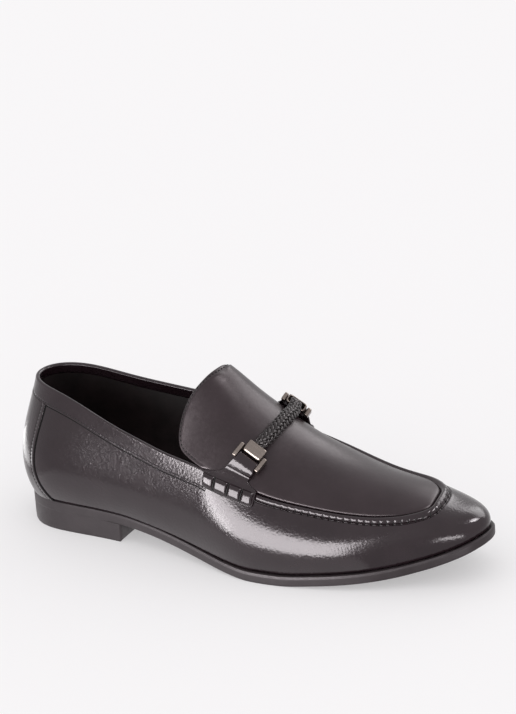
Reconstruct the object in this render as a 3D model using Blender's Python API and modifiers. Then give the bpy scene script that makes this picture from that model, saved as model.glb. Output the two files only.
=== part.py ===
# Bit loafer, right shoe. Named sizes are millimetres, tables hold shares of the named sizes they follow.
# Frame: +X toward the toe, +Y the medial side, +Z up, the floor at z = 0.
import math

import bmesh
import bpy
import numpy as np

MM = 0.001
NAME = "bit_loafer"

# driving sizes
LENGTH = 300.0            # outsole, back to toe tip
BALL_WIDTH = 102.0        # outsole at the ball
INSTEP = 100.0            # top of the sole to the tip of the tongue
BACK_HEIGHT = 73.2        # top of the sole to the collar at the heel
HEEL_HEIGHT = 12.0        # floor to the underside of the sole at the breast
TOE_SPRING = 24.0         # floor to the underside of the sole at the toe tip
SOLE_THICK = 6.4
SOLE_LEDGE = 2.7          # how far the sole stands out past the upper
LEDGE_FADE = (0.267, 0.567)     # the ledge widens between these shares of the length
LEDGE_LEAST = 0.12        # share of the ledge left round the heel
SOLE_BEVEL = 0.7
SOLE_EDGE_LOW = 0.6       # height of the rounding under the edge
SOLE_EDGE_HIGH = 1.0      # and of the bevel on top
SOLE_POINTS = 100
SOLE_ACROSS = 4
HEEL_BREAST = 68.0        # from the back of the sole
BREAST_SLANT = 7.0        # medial corner ahead of the lateral one
BREAST_HOLLOW = 5.0       # curve of the breast, four times its depth
HEEL_ROWS = 15
HEEL_ROUND = 0.5          # rounding of the heel's ground edge
WALL = 1.8                # leather and lining of the upper
INSOLE_THICK = 2.5
INSOLE_ROOM = 0.9         # clearance of the insole from the wall at its foot
GAP = 0.3                 # between neighbouring pieces
ORIGIN_X = HEEL_BREAST / 2      # the frame's origin is the middle of the heel's ground face

# trims of the upper
BAND_WIDTH = 11.5         # stitched collar band
BAND_STEP = 0.6
SEAM_LIP = 1.5            # raised roll outside the apron
SEAM_GROOVE = 0.5
STRIP_STEP = 0.5          # counter strip round the back of the heel
STRIP_HALF = 28.5         # from the middle of the back to its edge, under the collar band
STRIP_FLARE = 12.5        # so much further round at the foot

# saddle straps and fittings
STRAP_THICK = 1.6
STRAP_CLEAR = 0.5         # from the upper's surface, under the strap
STRAP_PLACE = 0.493       # middle of the strap on the moc seam, lateral side, share of the length
MEDIAL_AHEAD = 4.0        # the medial strap stands this much nearer the toe
ROLL_DEPTH = 9.5          # height of the stitched roll on the wall
ROLL_PROUD = 4.1
ROLL_HALF = 16.5
TAB_HALF = 6.8
BAR_REACH = 15.0          # from the moc seam up the apron to the bar, lateral side
MEDIAL_SHORT = 2.0        # the medial bar sits this much nearer its seam
STRAP_SWEEP = 0.27        # the straps lean toward the toe as they climb
BAR_RADIUS = 1.3
BAR_LIFT = 3.7
PLATE_SIZE = (2.5, 9.6, 5.2)
PLATE_APART = 17.0
PLATE_MIDDLE = 2.3        # middle of the end plates, up the instep from the bar
BLOCK_SIZE = (12.6, 7.8, 5.2)
BRAID_HALF = (4.5, 3.0)   # half width of the cord across and off the apron, to the bottom of its relief
BRAID_RELIEF = 0.5
BRAID_LIFT = 4.7          # middle of the cord above the apron
BRAID_RINGS = 44
BRAID_SIDES = 12
BRAID_PITCH = 8.0         # rings to one turn of the plait

# sole outline, heel round the lateral side to the toe and back: share of length, share of ball width
OUTLINE = [
    (-0.008, 0.000), (0.007, -0.152), (0.043, -0.250), (0.100, -0.286), (0.167, -0.296), (0.240, -0.316),
    (0.333, -0.364), (0.429, -0.440), (0.502, -0.505), (0.569, -0.532), (0.686, -0.498), (0.799, -0.408),
    (0.895, -0.284), (0.970, -0.167), (1.000, -0.029), (0.992, 0.093), (0.950, 0.216), (0.853, 0.324),
    (0.760, 0.407), (0.667, 0.451), (0.587, 0.456), (0.493, 0.392), (0.407, 0.294), (0.327, 0.250),
    (0.240, 0.265), (0.160, 0.294), (0.093, 0.289), (0.040, 0.235), (0.005, 0.132),
]
# underside of the sole behind the ball: share of length, share of heel height
ARCH = [
    (-0.010, 1.083), (0.113, 1.058), (0.227, 1.000), (0.300, 0.825), (0.363, 0.592), (0.433, 0.308),
    (0.493, 0.104), (0.547, 0.000),
]
# underside of the sole from the ball to the toe: share of length, share of toe spring
SPRING = [
    (0.607, 0.000), (0.683, 0.071), (0.767, 0.179), (0.833, 0.308), (0.900, 0.513), (0.950, 0.733),
    (1.000, 1.000),
]
# top of the collar from the lateral throat round the heel: share of length, of ball width, of back height
COLLAR = [
    (0.383, -0.333, 0.708), (0.337, -0.314, 0.713), (0.290, -0.294, 0.738), (0.240, -0.275, 0.779),
    (0.193, -0.255, 0.842), (0.147, -0.232, 0.911), (0.100, -0.203, 0.966), (0.057, -0.157, 0.990),
    (0.028, -0.088, 0.999), (0.018, 0.000, 1.000), (0.028, 0.093, 0.997), (0.057, 0.167, 0.988),
    (0.100, 0.224, 0.958), (0.153, 0.260, 0.908), (0.200, 0.282, 0.869), (0.250, 0.306, 0.839),
    (0.310, 0.329, 0.827), (0.373, 0.347, 0.822),
]
# apron and tongue, toe to tongue tip: lateral edge, crown and medial edge, each as share of length, of ball
# width and of instep above the sole, then fullness of the arch
APRON = [
    (0.887, -0.235, 0.249, 0.890, -0.029, 0.292, 0.877, 0.176, 0.292, 2.2),
    (0.837, -0.255, 0.283, 0.840, -0.029, 0.358, 0.837, 0.201, 0.320, 2.2),
    (0.750, -0.299, 0.322, 0.753, -0.020, 0.438, 0.757, 0.245, 0.370, 2.2),
    (0.663, -0.338, 0.375, 0.673, 0.000, 0.517, 0.663, 0.294, 0.455, 2.2),
    (0.573, -0.373, 0.438, 0.597, 0.020, 0.631, 0.580, 0.343, 0.511, 2.2),
    (0.500, -0.377, 0.491, 0.537, 0.034, 0.750, 0.512, 0.368, 0.549, 2.3),
    (0.433, -0.356, 0.519, 0.485, 0.034, 0.856, 0.450, 0.363, 0.581, 2.4),
    (0.377, -0.299, 0.561, 0.448, 0.034, 0.941, 0.407, 0.338, 0.621, 2.5),
    (0.333, -0.255, 0.636, 0.422, 0.029, 1.000, 0.370, 0.314, 0.668, 2.6),
]
# ribs of the wall: place on the top edge (0 heel, 1 lateral throat, 2 apron front, 3 medial throat, 4 heel),
# foot as share of length, side, lean out at the foot, lean in at the top (degrees), reach of both leans
RIBS = [
    (0.00, -0.008, 0, 24.0, 15.0, 0.38, 0.40),
    (0.25, 0.067, -1, 23.0, 13.0, 0.38, 0.40),
    (0.55, 0.227, -1, 20.0, 8.0, 0.40, 0.40),
    (1.00, 0.427, -1, 14.0, 22.0, 0.38, 0.38),
    (1.30, 0.573, -1, 16.0, 42.0, 0.38, 0.42),
    (1.60, 0.730, -1, 18.0, 52.0, 0.38, 0.42),
    (1.82, 0.873, -1, 16.0, 60.0, 0.40, 0.42),
    (2.00, 1.000, 0, 12.0, 66.0, 0.42, 0.42),
    (2.18, 0.873, 1, 16.0, 60.0, 0.40, 0.42),
    (2.40, 0.730, 1, 16.0, 52.0, 0.38, 0.42),
    (2.70, 0.573, 1, 14.0, 42.0, 0.38, 0.42),
    (3.00, 0.433, 1, 10.0, 22.0, 0.38, 0.38),
    (3.45, 0.227, 1, 16.0, 8.0, 0.40, 0.40),
    (3.75, 0.067, 1, 23.0, 13.0, 0.38, 0.40),
    (4.00, -0.008, 0, 24.0, 15.0, 0.38, 0.40),
]
# lines of the wall below its top edge: distance, lift on the collar, lift on the moc seam
LINES = [
    (0.0, BAND_STEP, -SEAM_GROOVE), (1.2, BAND_STEP, SEAM_LIP), (3.7, BAND_STEP, SEAM_LIP),
    (5.4, BAND_STEP, 0.0), (BAND_WIDTH - 0.3, BAND_STEP, 0.0), (BAND_WIDTH + 0.6, 0.0, 0.0),
]
LOWER_LINES = 6
FOOT_POINTS = 720


# a table's shares turned into lengths: l length, w ball width, i instep, b back height, - as written
def lengths(rows, kinds):
    size = {"l": LENGTH, "w": BALL_WIDTH, "i": INSTEP, "b": BACK_HEIGHT, "-": 1.0}
    return np.array(rows, float) * [size[kind] for kind in kinds]


# heights in the table are counted from the top of the sole below them
def above_sole(table, columns=(2,)):
    for k in columns:
        table[:, k] += sole_top(table[:, k - 2])
    return table


# cubic curve of continuous curvature through the rows, evaluated at places u in row numbers
def curve(rows, u, closed=False):
    p = np.asarray(rows, float)
    if closed:
        p = np.vstack([p, p[:1]])
    n = len(p)
    knots = np.r_[0.0, np.cumsum(np.linalg.norm(np.diff(p[:, :2], axis=0), axis=1) ** 0.5 + 1e-9)]
    h = np.diff(knots)
    a = np.zeros((n, n))
    b = np.zeros((n, p.shape[1]))
    slope = np.diff(p, axis=0) / h[:, None]
    for i in range(1, n - 1):
        a[i, i - 1:i + 2] = (h[i - 1], 2 * (h[i - 1] + h[i]), h[i])
        b[i] = 6 * (slope[i] - slope[i - 1])
    if closed:
        a[0, :2] = (2 * (h[0] + h[-1]), h[0])
        a[0, n - 2] += h[-1]
        b[0] = 6 * (slope[0] - slope[-1])
        a[n - 1, 0] = 1.0
        a[n - 1, n - 1] = -1.0
    else:
        a[0, 0] = 1.0
        a[n - 1, n - 1] = 1.0
    m = np.linalg.solve(a, b)
    t = np.interp(u, np.arange(n), knots)
    i = np.clip(np.searchsorted(knots, t, side="right") - 1, 0, n - 2)
    s = (t - knots[i])[:, None]
    w = (knots[i + 1] - t)[:, None]
    d = h[i][:, None]
    bend = m[i] * (w ** 3 / d - w * d) / 6 + m[i + 1] * (s ** 3 / d - s * d) / 6
    return bend + p[i] * w / d + p[i + 1] * s / d


# a curve drawn finely and then cut into equal lengths
def even_curve(rows, count, closed=False):
    n = len(rows) if closed else len(rows) - 1
    fine = curve(rows, np.linspace(0, n, 60 * n + 1), closed)
    run = np.r_[0.0, np.cumsum(np.linalg.norm(np.diff(fine, axis=0), axis=1))]
    cut = np.linspace(0, run[-1], count + 1)
    even = np.stack([np.interp(cut, run, fine[:, k]) for k in range(fine.shape[1])], -1)
    return even[:-1] if closed else even


# monotone profile through the rows: no dips between equal heights
def profile(x, rows):
    table = np.asarray(rows, float)
    xs = table[:, 0]
    ys = table[:, 1:]
    h = np.diff(xs)[:, None]
    d = np.diff(ys, axis=0) / h
    w1 = 2 * h[1:] + h[:-1]
    w2 = h[1:] + 2 * h[:-1]
    same = d[1:] * d[:-1] > 0
    safe = np.where(same, d[1:], 1.0), np.where(same, d[:-1], 1.0)
    inner = np.where(same, (w1 + w2) / (w1 / safe[1] + w2 / safe[0]), 0.0)
    m = np.vstack([d[:1], inner, d[-1:]])
    shape = np.shape(x)
    q = np.clip(np.ravel(x), xs[0], xs[-1])
    i = np.clip(np.searchsorted(xs, q, side="right") - 1, 0, len(xs) - 2)
    t = ((q - xs[i]) / h[i, 0])[:, None]
    v = ((1 + 2 * t) * (1 - t) ** 2 * ys[i] + t * (1 - t) ** 2 * h[i] * m[i]
         + t * t * (3 - 2 * t) * ys[i + 1] + t * t * (t - 1) * h[i] * m[i + 1])
    return v.reshape(shape + (ys.shape[1],)) if ys.shape[1] > 1 else v[:, 0].reshape(shape)


def underside(x):
    rows = np.vstack([np.array(ARCH) * [LENGTH, HEEL_HEIGHT], np.array(SPRING) * [LENGTH, TOE_SPRING]])
    return profile(x, rows)


def sole_top(x):
    return underside(x) + SOLE_THICK


# outline of the sole, evenly cut, moved in by inset and by a share of the ledge
def outline(count, inset=0.0, ledge=0.0):
    loop = even_curve(lengths(OUTLINE, "lw"), count, closed=True)
    share = np.interp(loop[:, 0] / LENGTH, LEDGE_FADE, [0.0, 1.0]).clip(LEDGE_LEAST)
    return loop - outward(loop) * (inset + SOLE_LEDGE * ledge * share)[:, None]


# the loop runs heel, lateral side, toe, medial side, so its right-hand side faces out
def outward(loop):
    run = np.roll(loop, -1, 0) - np.roll(loop, 1, 0)
    side = np.stack([run[:, 1], -run[:, 0]], -1)
    return side / np.linalg.norm(side, axis=1)[:, None]


# cross rows between the two sides of a loop that starts at the heel and has its toe half way round
def cross_rows(loop, across, height):
    n = len(loop)
    half = n // 2
    t = np.linspace(0.0, 1.0, across + 1)[None, :, None]
    i = np.arange(half + 1)
    left = loop[i][:, None, :]
    right = loop[(n - i) % n][:, None, :]
    flat = left * (1 - t) + right * t
    return np.concatenate([flat, height(flat[..., 0])[..., None]], -1)


# layers of equal grids, bottom first: the first and last are filled, the borders between are joined
def stacked(layers):
    rows, cols = layers[0].shape[:2]
    index = np.arange(rows * cols).reshape(rows, cols)
    border = np.r_[index[:, 0], index[-1, 1:], index[-2::-1, -1], index[0, -2:0:-1]]
    verts = np.vstack([layers[0].reshape(-1, 3)] + [g.reshape(-1, 3)[border] for g in layers[1:-1]]
                      + [layers[-1].reshape(-1, 3)])
    size = rows * cols
    ring = len(border)
    loops = [border] + [size + k * ring + np.arange(ring) for k in range(len(layers) - 2)]
    top = size + (len(layers) - 2) * ring
    loops.append(top + border)
    quads = np.stack([index[:-1, :-1], index[1:, :-1], index[1:, 1:], index[:-1, 1:]], -1).reshape(-1, 4)
    faces = [quads, quads[:, ::-1] + top]
    for low, high in zip(loops[:-1], loops[1:]):
        faces.append(np.stack([low, high, np.roll(high, -1), np.roll(low, -1)], -1))
    return verts, np.vstack(faces)


def material(name, color, metallic, roughness):
    mat = bpy.data.materials.new(name)
    mat.use_nodes = True
    shader = mat.node_tree.nodes["Principled BSDF"]
    shader.inputs["Base Color"].default_value = color + (1.0,)
    shader.inputs["Metallic"].default_value = metallic
    shader.inputs["Roughness"].default_value = roughness
    mat.diffuse_color = color + (1.0,)
    return mat


def add_object(name, verts, faces, mat, collection):
    mesh = bpy.data.meshes.new(name)
    place = (np.asarray(verts) - [ORIGIN_X, 0.0, 0.0]) * MM
    mesh.from_pydata(place.tolist(), [], [list(map(int, f)) for f in faces])
    work = bmesh.new()
    work.from_mesh(mesh)
    bmesh.ops.remove_doubles(work, verts=work.verts, dist=0.00001)
    bmesh.ops.recalc_face_normals(work, faces=work.faces)
    work.to_mesh(mesh)
    work.free()
    mesh.materials.append(mat)
    obj = bpy.data.objects.new(name, mesh)
    collection.objects.link(obj)
    return obj


def build_outsole(collection, mat):
    inner = outline(SOLE_POINTS, SOLE_EDGE_LOW)
    outer = outline(SOLE_POINTS)
    lip = outline(SOLE_POINTS, SOLE_BEVEL)
    layers = [
        cross_rows(inner, SOLE_ACROSS, underside),
        cross_rows(outer, SOLE_ACROSS, lambda x: underside(x) + SOLE_EDGE_LOW),
        cross_rows(outer, SOLE_ACROSS, lambda x: sole_top(x) - SOLE_EDGE_HIGH),
        cross_rows(lip, SOLE_ACROSS, sole_top),
    ]
    verts, faces = stacked(layers)
    return add_object("outsole", verts, faces, mat, collection)


# the block follows the sole's outline back of the slanted breast
def build_heel(collection, mat):
    def rows(inset, height):
        loop = outline(SOLE_POINTS, inset)
        keep = cross_rows(loop, SOLE_ACROSS, lambda x: 0 * x)
        i = np.linspace(0.0, 1.0, HEEL_ROWS) ** 0.85
        wide = np.interp(HEEL_BREAST, keep[:len(keep) // 2, 0, 0], np.arange(len(keep) // 2))
        at = i * wide
        low = np.floor(at).astype(int)
        part = (at - low)[:, None, None]
        grid = keep[low] * (1 - part) + keep[low + 1] * part
        share = i[:, None] ** 3
        t = np.linspace(0.0, 1.0, SOLE_ACROSS + 1)[None, :]
        grid[..., 0] += share * BREAST_SLANT * t - share * BREAST_HOLLOW * t * (1 - t)
        edge = np.interp(grid[:, -1, 0], keep[:len(keep) // 2, -1, 0], keep[:len(keep) // 2, -1, 1])
        grid[..., 1] += (edge - grid[:, -1, 1])[:, None] * t
        grid[..., 2] = height(grid[..., 0])
        return grid
    layers = [rows(2 * HEEL_ROUND, lambda x: 0 * x), rows(HEEL_ROUND, lambda x: 0 * x + HEEL_ROUND),
              rows(0.0, lambda x: underside(x) - GAP)]
    verts, faces = stacked(layers)
    return add_object("heel", verts, faces, mat, collection)


def build_insole(collection, mat):
    loop = outline(SOLE_POINTS, WALL + INSOLE_ROOM, 1.0)
    layers = [cross_rows(loop, SOLE_ACROSS, lambda x: sole_top(x) + GAP),
              cross_rows(loop, SOLE_ACROSS, lambda x: sole_top(x) + GAP + INSOLE_THICK)]
    verts, faces = stacked(layers)
    return add_object("insole", verts, faces, mat, collection)


# point on the apron and tongue: v runs toe to tongue tip in row numbers, w from -1 lateral to 1 medial
def apron(v, w):
    v, w = np.broadcast_arrays(np.asarray(v, float), np.asarray(w, float))
    rows = above_sole(lengths(APRON, "lwilwilwi-"), (2, 5, 8))
    u = np.ravel(v)
    q = curve(rows, u)
    lat = q[:, 0:3]
    top = q[:, 3:6]
    med = q[:, 6:9]
    t = np.ravel(w)[:, None]
    rise = 1.0 - np.abs(t) ** q[:, 9:10]
    p = lat * (1 - t) / 2 + med * (1 + t) / 2 + (top - (lat + med) / 2) * rise
    return p.reshape(v.shape + (3,))


LAST_ROW = len(APRON) - 1.0
THROAT_ROW = 6.0
FRONT_ROUND = 1.75         # rows over which the apron's toe end rounds
TIP_ROUND = 1.25           # rows over which the tongue's end rounds
APRON_ACROSS = 14
FRONT_ROWS = 9
MID_ROWS = 13
TIP_ROWS = 8


# half width of the apron's outline at a row: rounded at both ends
def apron_half(v):
    v = np.asarray(v, float)
    front = np.clip(v / FRONT_ROUND, 0.0, 1.0)
    tip = np.clip((LAST_ROW - v) / TIP_ROUND, 0.0, 1.0)
    near = 0.34 + 0.66 * np.sqrt(1.0 - (1.0 - front) ** 2)
    far = 0.55 + 0.45 * np.sqrt(1.0 - (1.0 - tip) ** 2)
    return np.minimum(near, far)


def apron_stations():
    a = FRONT_ROUND * (1 - np.cos(np.linspace(0, math.pi / 2, FRONT_ROWS)))
    b = np.linspace(FRONT_ROUND, THROAT_ROW, MID_ROWS + 1)[1:]
    mid = np.linspace(THROAT_ROW, LAST_ROW - TIP_ROUND, 3)[1:]
    c = LAST_ROW - TIP_ROUND * (1 - np.cos(np.linspace(math.pi / 2, 0, TIP_ROWS)))
    return np.r_[a, b, mid, c[1:]], FRONT_ROWS + MID_ROWS - 1


# rib of the wall: a cubic from the foot to the top edge, leaning out at the foot and in at the top
def ribs(place, top, fine=61):
    table = np.array(RIBS, float)
    table[:, 1] *= LENGTH
    data = profile(np.asarray(place, float), np.c_[table[:, 0], foot_fraction(table), table[:, 3:]])
    loop = outline(FOOT_POINTS, 0.0, 1.0)
    ring = np.c_[loop, outward(loop)]
    ring = np.vstack([ring, ring[:1]])
    at = np.clip(data[:, 0], 0.0, 1.0) * FOOT_POINTS
    ring = np.stack([np.interp(at, np.arange(FOOT_POINTS + 1), ring[:, k]) for k in range(4)], -1)
    foot = np.c_[ring[:, :2], sole_top(ring[:, 0]) + GAP]
    out = np.c_[ring[:, 2:], np.zeros(len(ring))]
    up = np.array([0.0, 0.0, 1.0])
    span = np.linalg.norm(top - foot, axis=1)[:, None]
    lean = np.radians(data[:, 1:2])
    tuck = np.radians(data[:, 2:3])
    p1 = foot + span * data[:, 3:4] * (np.cos(lean) * up + np.sin(lean) * out)
    p2 = top - span * data[:, 4:5] * (np.cos(tuck) * up - np.sin(tuck) * out)
    t = np.linspace(0, 1, fine)[:, None, None]
    return (1 - t) ** 3 * top + 3 * (1 - t) ** 2 * t * p2 + 3 * (1 - t) * t * t * p1 + t ** 3 * foot


# share of the foot's loop that each rib of the table stands on
def foot_fraction(table):
    loop = outline(FOOT_POINTS, 0.0, 1.0)
    tip = int(np.argmax(loop[:, 0]))
    there = np.arange(tip) / FOOT_POINTS
    home = 1.0 - np.arange(1, FOOT_POINTS - tip) / FOOT_POINTS
    lateral = np.interp(table[:, 1], loop[:tip, 0], there)
    medial = np.interp(table[:, 1], loop[:tip:-1, 0], home)
    ends = np.where(table[:, 0] == 2.0, tip / FOOT_POINTS, table[:, 0] / 4.0)
    return np.select([table[:, 2] < 0, table[:, 2] > 0], [lateral, medial], ends)


# points along each rib at given distances below the top edge, then evenly to the foot
def wall_rows(fine):
    run = np.r_[np.zeros((1, fine.shape[1])), np.cumsum(np.linalg.norm(np.diff(fine, axis=0), axis=2), axis=0)]
    near = np.array([line[0] for line in LINES])
    rest = np.linspace(0, 1, LOWER_LINES + 1)[1:]
    grid = np.zeros((len(near) + len(rest), fine.shape[1], 3))
    for c in range(fine.shape[1]):
        cut = np.r_[near, near[-1] + (run[-1, c] - near[-1]) * rest]
        for k in range(3):
            grid[:, c, k] = np.interp(cut, run[:, c], fine[:, c, k])
    return grid


COLLAR_POINTS = 46


def upper_surface():
    stations, throat = apron_stations()
    half = apron_half(stations)
    across = np.linspace(-1.0, 1.0, APRON_ACROSS + 1)
    field = apron(stations[:, None] + 0 * across, half[:, None] * across)
    rows, cols = field.shape[:2]
    index = np.arange(rows * cols).reshape(rows, cols)
    verts = [field.reshape(-1, 3)]
    faces = [np.stack([index[:-1, :-1], index[:-1, 1:], index[1:, 1:], index[1:, :-1]], -1).reshape(-1, 4)]
    left = field[throat, 0]
    right = field[throat, -1]
    rim = even_curve(np.vstack([left, above_sole(lengths(COLLAR, "lwb")), right]), COLLAR_POINTS)
    back = int(np.argmin(rim[:, 0]))
    n0 = rows * cols
    rim_index = n0 + np.arange(len(rim) - 2)
    verts.append(rim[1:-1])
    seam = np.r_[index[throat::-1, 0], index[0, 1:-1], index[:throat + 1, -1]]
    top_index = np.r_[rim_index[:back][::-1], seam, rim_index[back:][::-1]]
    every = np.vstack(verts)
    top = every[top_index]
    step = np.linalg.norm(np.roll(top, -1, 0) - top, axis=1)
    run = np.r_[0.0, np.cumsum(step)[:-1]]
    lateral = back
    front = lateral + throat + cols // 2
    medial = lateral + len(seam) - 1
    marks = [0.0, run[lateral], run[front], run[medial], run[-1] + step[-1]]
    place = np.interp(run, marks, np.arange(5.0))
    lat_seam = np.stack([stations[:throat + 1], place[lateral:lateral + throat + 1][::-1]])
    med_seam = np.stack([stations[:throat + 1], place[medial - throat:medial + 1]])
    return every, faces, top_index, top, place, (lat_seam, med_seam)


def smooth_step(x):
    x = np.clip(x, 0.0, 1.0)
    return x * x * (3 - 2 * x)


def build_upper(collection, mat):
    every, faces, top_index, top, place, _ = upper_surface()
    grid = wall_rows(ribs(place, top))
    count = len(top_index)
    base = len(every)
    wall_index = np.vstack([top_index, base + np.arange((len(grid) - 1) * count).reshape(-1, count)])
    verts = np.vstack([every, grid[1:].reshape(-1, 3)])
    nxt = np.roll(wall_index, -1, 1)
    quads = np.stack([wall_index[:-1], wall_index[1:], nxt[1:], nxt[:-1]], -1).reshape(-1, 4)
    faces = np.vstack(faces + [quads])
    lift = np.zeros(len(verts))
    on_seam = smooth_step((place - 1.0) / 0.04) * smooth_step((3.0 - place) / 0.04)
    seam_x = top[:, 0]
    covered = smooth_step((seam_x - STRAP_PLACE * LENGTH - ROLL_HALF - MEDIAL_AHEAD) / 4.0)
    down = np.linspace(0.0, 1.0, len(grid))[:, None]
    strip = smooth_step((STRIP_HALF + STRIP_FLARE * down - heel_reach(grid)) / 1.5)
    for r in range(len(grid)):
        line = LINES[r] if r < len(LINES) else (0.0, 0.0, 0.0)
        rear = line[1] * (1 - on_seam)
        lift[wall_index[r]] = rear + line[2] * on_seam * covered + (strip[r] * STRIP_STEP if r > 4 else 0.0)
    verts = verts + normals(verts, faces) * lift[:, None]
    obj = add_object("upper", verts, faces, mat, collection)
    shell = obj.modifiers.new("wall", "SOLIDIFY")
    shell.thickness = WALL * MM
    shell.offset = -1.0
    shell.use_even_offset = True
    shell.use_quality_normals = True
    return obj


# distance round the wall from the middle of the heel, for every point of the grid
def heel_reach(grid):
    nxt = np.roll(grid, -1, 1)
    step = np.linalg.norm(nxt - grid, axis=2)
    ahead = np.cumsum(step, axis=1) - step
    whole = step.sum(axis=1)[:, None]
    return np.minimum(ahead, whole - ahead)


def normals(verts, faces):
    a = verts[faces[:, 2]] - verts[faces[:, 0]]
    b = verts[faces[:, 3]] - verts[faces[:, 1]]
    n = np.cross(a, b)
    out = np.zeros_like(verts)
    for k in range(4):
        np.add.at(out, faces[:, k], n)
    return out / np.maximum(np.linalg.norm(out, axis=1), 1e-9)[:, None]


# skin of the upper across the moc seam: rows by v, columns by distance d from the seam, wall side negative
SKIN_D = np.linspace(-16.0, 44.0, 121)
SKIN_V = np.linspace(3.6, 6.0, 49)


def skin(side):
    seam = upper_surface()[5][0 if side < 0 else 1]
    edge = side * apron_half(SKIN_V)
    top = apron(SKIN_V, edge)
    wall = ribs(np.interp(SKIN_V, seam[0], seam[1]), top, 121)
    share = np.linspace(0.0, 1.0, 121)[:, None]
    over = apron(SKIN_V[None, :] + 0 * share, edge * (1 - 1.9 * share))
    line = np.concatenate([wall[:0:-1], over])
    run = np.r_[np.zeros((1, len(SKIN_V))), np.cumsum(np.linalg.norm(np.diff(line, axis=0), axis=2), axis=0)]
    run -= run[120]
    grid = np.zeros((len(SKIN_V), len(SKIN_D), 3))
    for i in range(len(SKIN_V)):
        for k in range(3):
            grid[i, :, k] = np.interp(SKIN_D, run[:, i], line[:, i, k])
    along = np.gradient(grid, axis=0)
    across = np.gradient(grid, axis=1)
    facing = np.cross(along, across) * side
    facing /= np.linalg.norm(facing, axis=2)[..., None]
    return grid, facing


# point on the skin at row v and distance d, lifted off it by o
def on_skin(field, v, d, o):
    grid, facing = field
    v, d, o = (np.asarray(q, float) for q in np.broadcast_arrays(v, d, o))
    i = np.clip((v - SKIN_V[0]) / (SKIN_V[1] - SKIN_V[0]), 0, len(SKIN_V) - 1.001)
    j = np.clip((d - SKIN_D[0]) / (SKIN_D[1] - SKIN_D[0]), 0, len(SKIN_D) - 1.001)
    i0 = i.astype(int)
    j0 = j.astype(int)
    a = (i - i0)[..., None]
    b = (j - j0)[..., None]
    point = 0.0
    normal = 0.0
    for di, dj, weight in ((0, 0, (1 - a) * (1 - b)), (1, 0, a * (1 - b)), (0, 1, (1 - a) * b), (1, 1, a * b)):
        point = point + grid[i0 + di, j0 + dj] * weight
        normal = normal + facing[i0 + di, j0 + dj] * weight
    return point + normal * o[..., None]


def bar_reach(side):
    return BAR_REACH - (MEDIAL_SHORT if side > 0 else 0.0)


# row number of the strap's middle, and rows per millimetre along the shoe
def strap_row(field, side):
    seam_x = field[0][:, np.argmin(np.abs(SKIN_D)), 0]
    middle = STRAP_PLACE * LENGTH + (MEDIAL_AHEAD if side > 0 else 0.0)
    row = float(np.interp(-middle, -seam_x, SKIN_V))
    pace = (SKIN_V[-1] - SKIN_V[0]) / (seam_x[0] - seam_x[-1])
    return row, pace


HOOK_TURN = [math.radians(a) for a in (200, 165, 130, 95, 60, 25, -10)]


# outline of the strap cut across the seam: under side up to the hook round the bar, then back over the top
def strap_section(reach):
    inner = BAR_RADIUS + GAP
    outer = inner + STRAP_THICK
    c = STRAP_CLEAR
    t = STRAP_CLEAR + STRAP_THICK
    p = ROLL_PROUD
    r = ROLL_DEPTH
    low = [(-r, c), (-r / 2, c), (0, c), (5, c), (reach - 6.5, c), (reach - 3.6, c + 0.9)]
    hook_in = [(reach + inner * math.cos(a), BAR_LIFT + inner * math.sin(a)) for a in HOOK_TURN]
    end = [(reach + inner + 0.1, 1.4), (reach + outer - 0.1, 1.4)]
    hook_out = [(reach + outer * math.cos(a), BAR_LIFT + outer * math.sin(a)) for a in HOOK_TURN[:0:-1]]
    high = [(reach - 4.4, t + 1.6), (reach - 6.8, t + 0.35), (5, t), (0.4, t + 0.5)]
    roll = [(-r * 0.2, p - 0.5), (-r * 0.42, p), (-r * 0.68, p - 0.2), (-r * 0.9, p - 1.3), (-r * 1.01, c + 0.8)]
    return np.array(low + hook_in + end + hook_out + high + roll)


def build_strap(name, side, collection, mat):
    field = skin(side)
    row, pace = strap_row(field, side)
    cut = strap_section(bar_reach(side))
    reach = bar_reach(side)
    half = profile(cut[:, 0], [(-20.0, ROLL_HALF), (0.6, ROLL_HALF), (3.4, ROLL_HALF * 0.56),
                               (reach - 6.0, TAB_HALF * 1.06), (reach - 4.5, TAB_HALF), (40.0, TAB_HALF)])
    b = np.array([-1.0, -0.94, -0.7, -0.35, 0.0, 0.35, 0.7, 0.94, 1.0])
    lift = STRAP_CLEAR + (cut[None, :, 1] - STRAP_CLEAR) * np.where(
        (np.abs(b) > 0.99)[:, None] & (cut[None, :, 0] < 3.0) & (cut[None, :, 1] > STRAP_CLEAR + 0.5), 0.72, 1.0)
    v = row - (b[:, None] * half[None, :] + STRAP_SWEEP * np.maximum(cut[None, :, 0], 0.0)) * pace
    grid = on_skin(field, v, cut[None, :, 0] + 0 * v, lift)
    origin, axes = fitting_frame(side)
    local = np.stack([b[:, None] * half[None, :], cut[None, :, 0] - reach + 0 * v, lift - BAR_LIFT], -1)
    share = smooth_step((cut[:, 0] - 4.0) / (reach - 8.0))[None, :, None]       # the hook is true to the bar
    grid = grid * (1 - share) + (origin + local @ axes) * share
    n, k = grid.shape[:2]
    index = np.arange(n * k).reshape(n, k)
    nxt = np.roll(index, -1, 1)
    quads = np.stack([index[:-1], index[1:], nxt[1:], nxt[:-1]], -1).reshape(-1, 4).tolist()
    return add_object(name, grid.reshape(-1, 3), quads + [index[0].tolist(), index[-1, ::-1].tolist()],
                      mat, collection)


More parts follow.
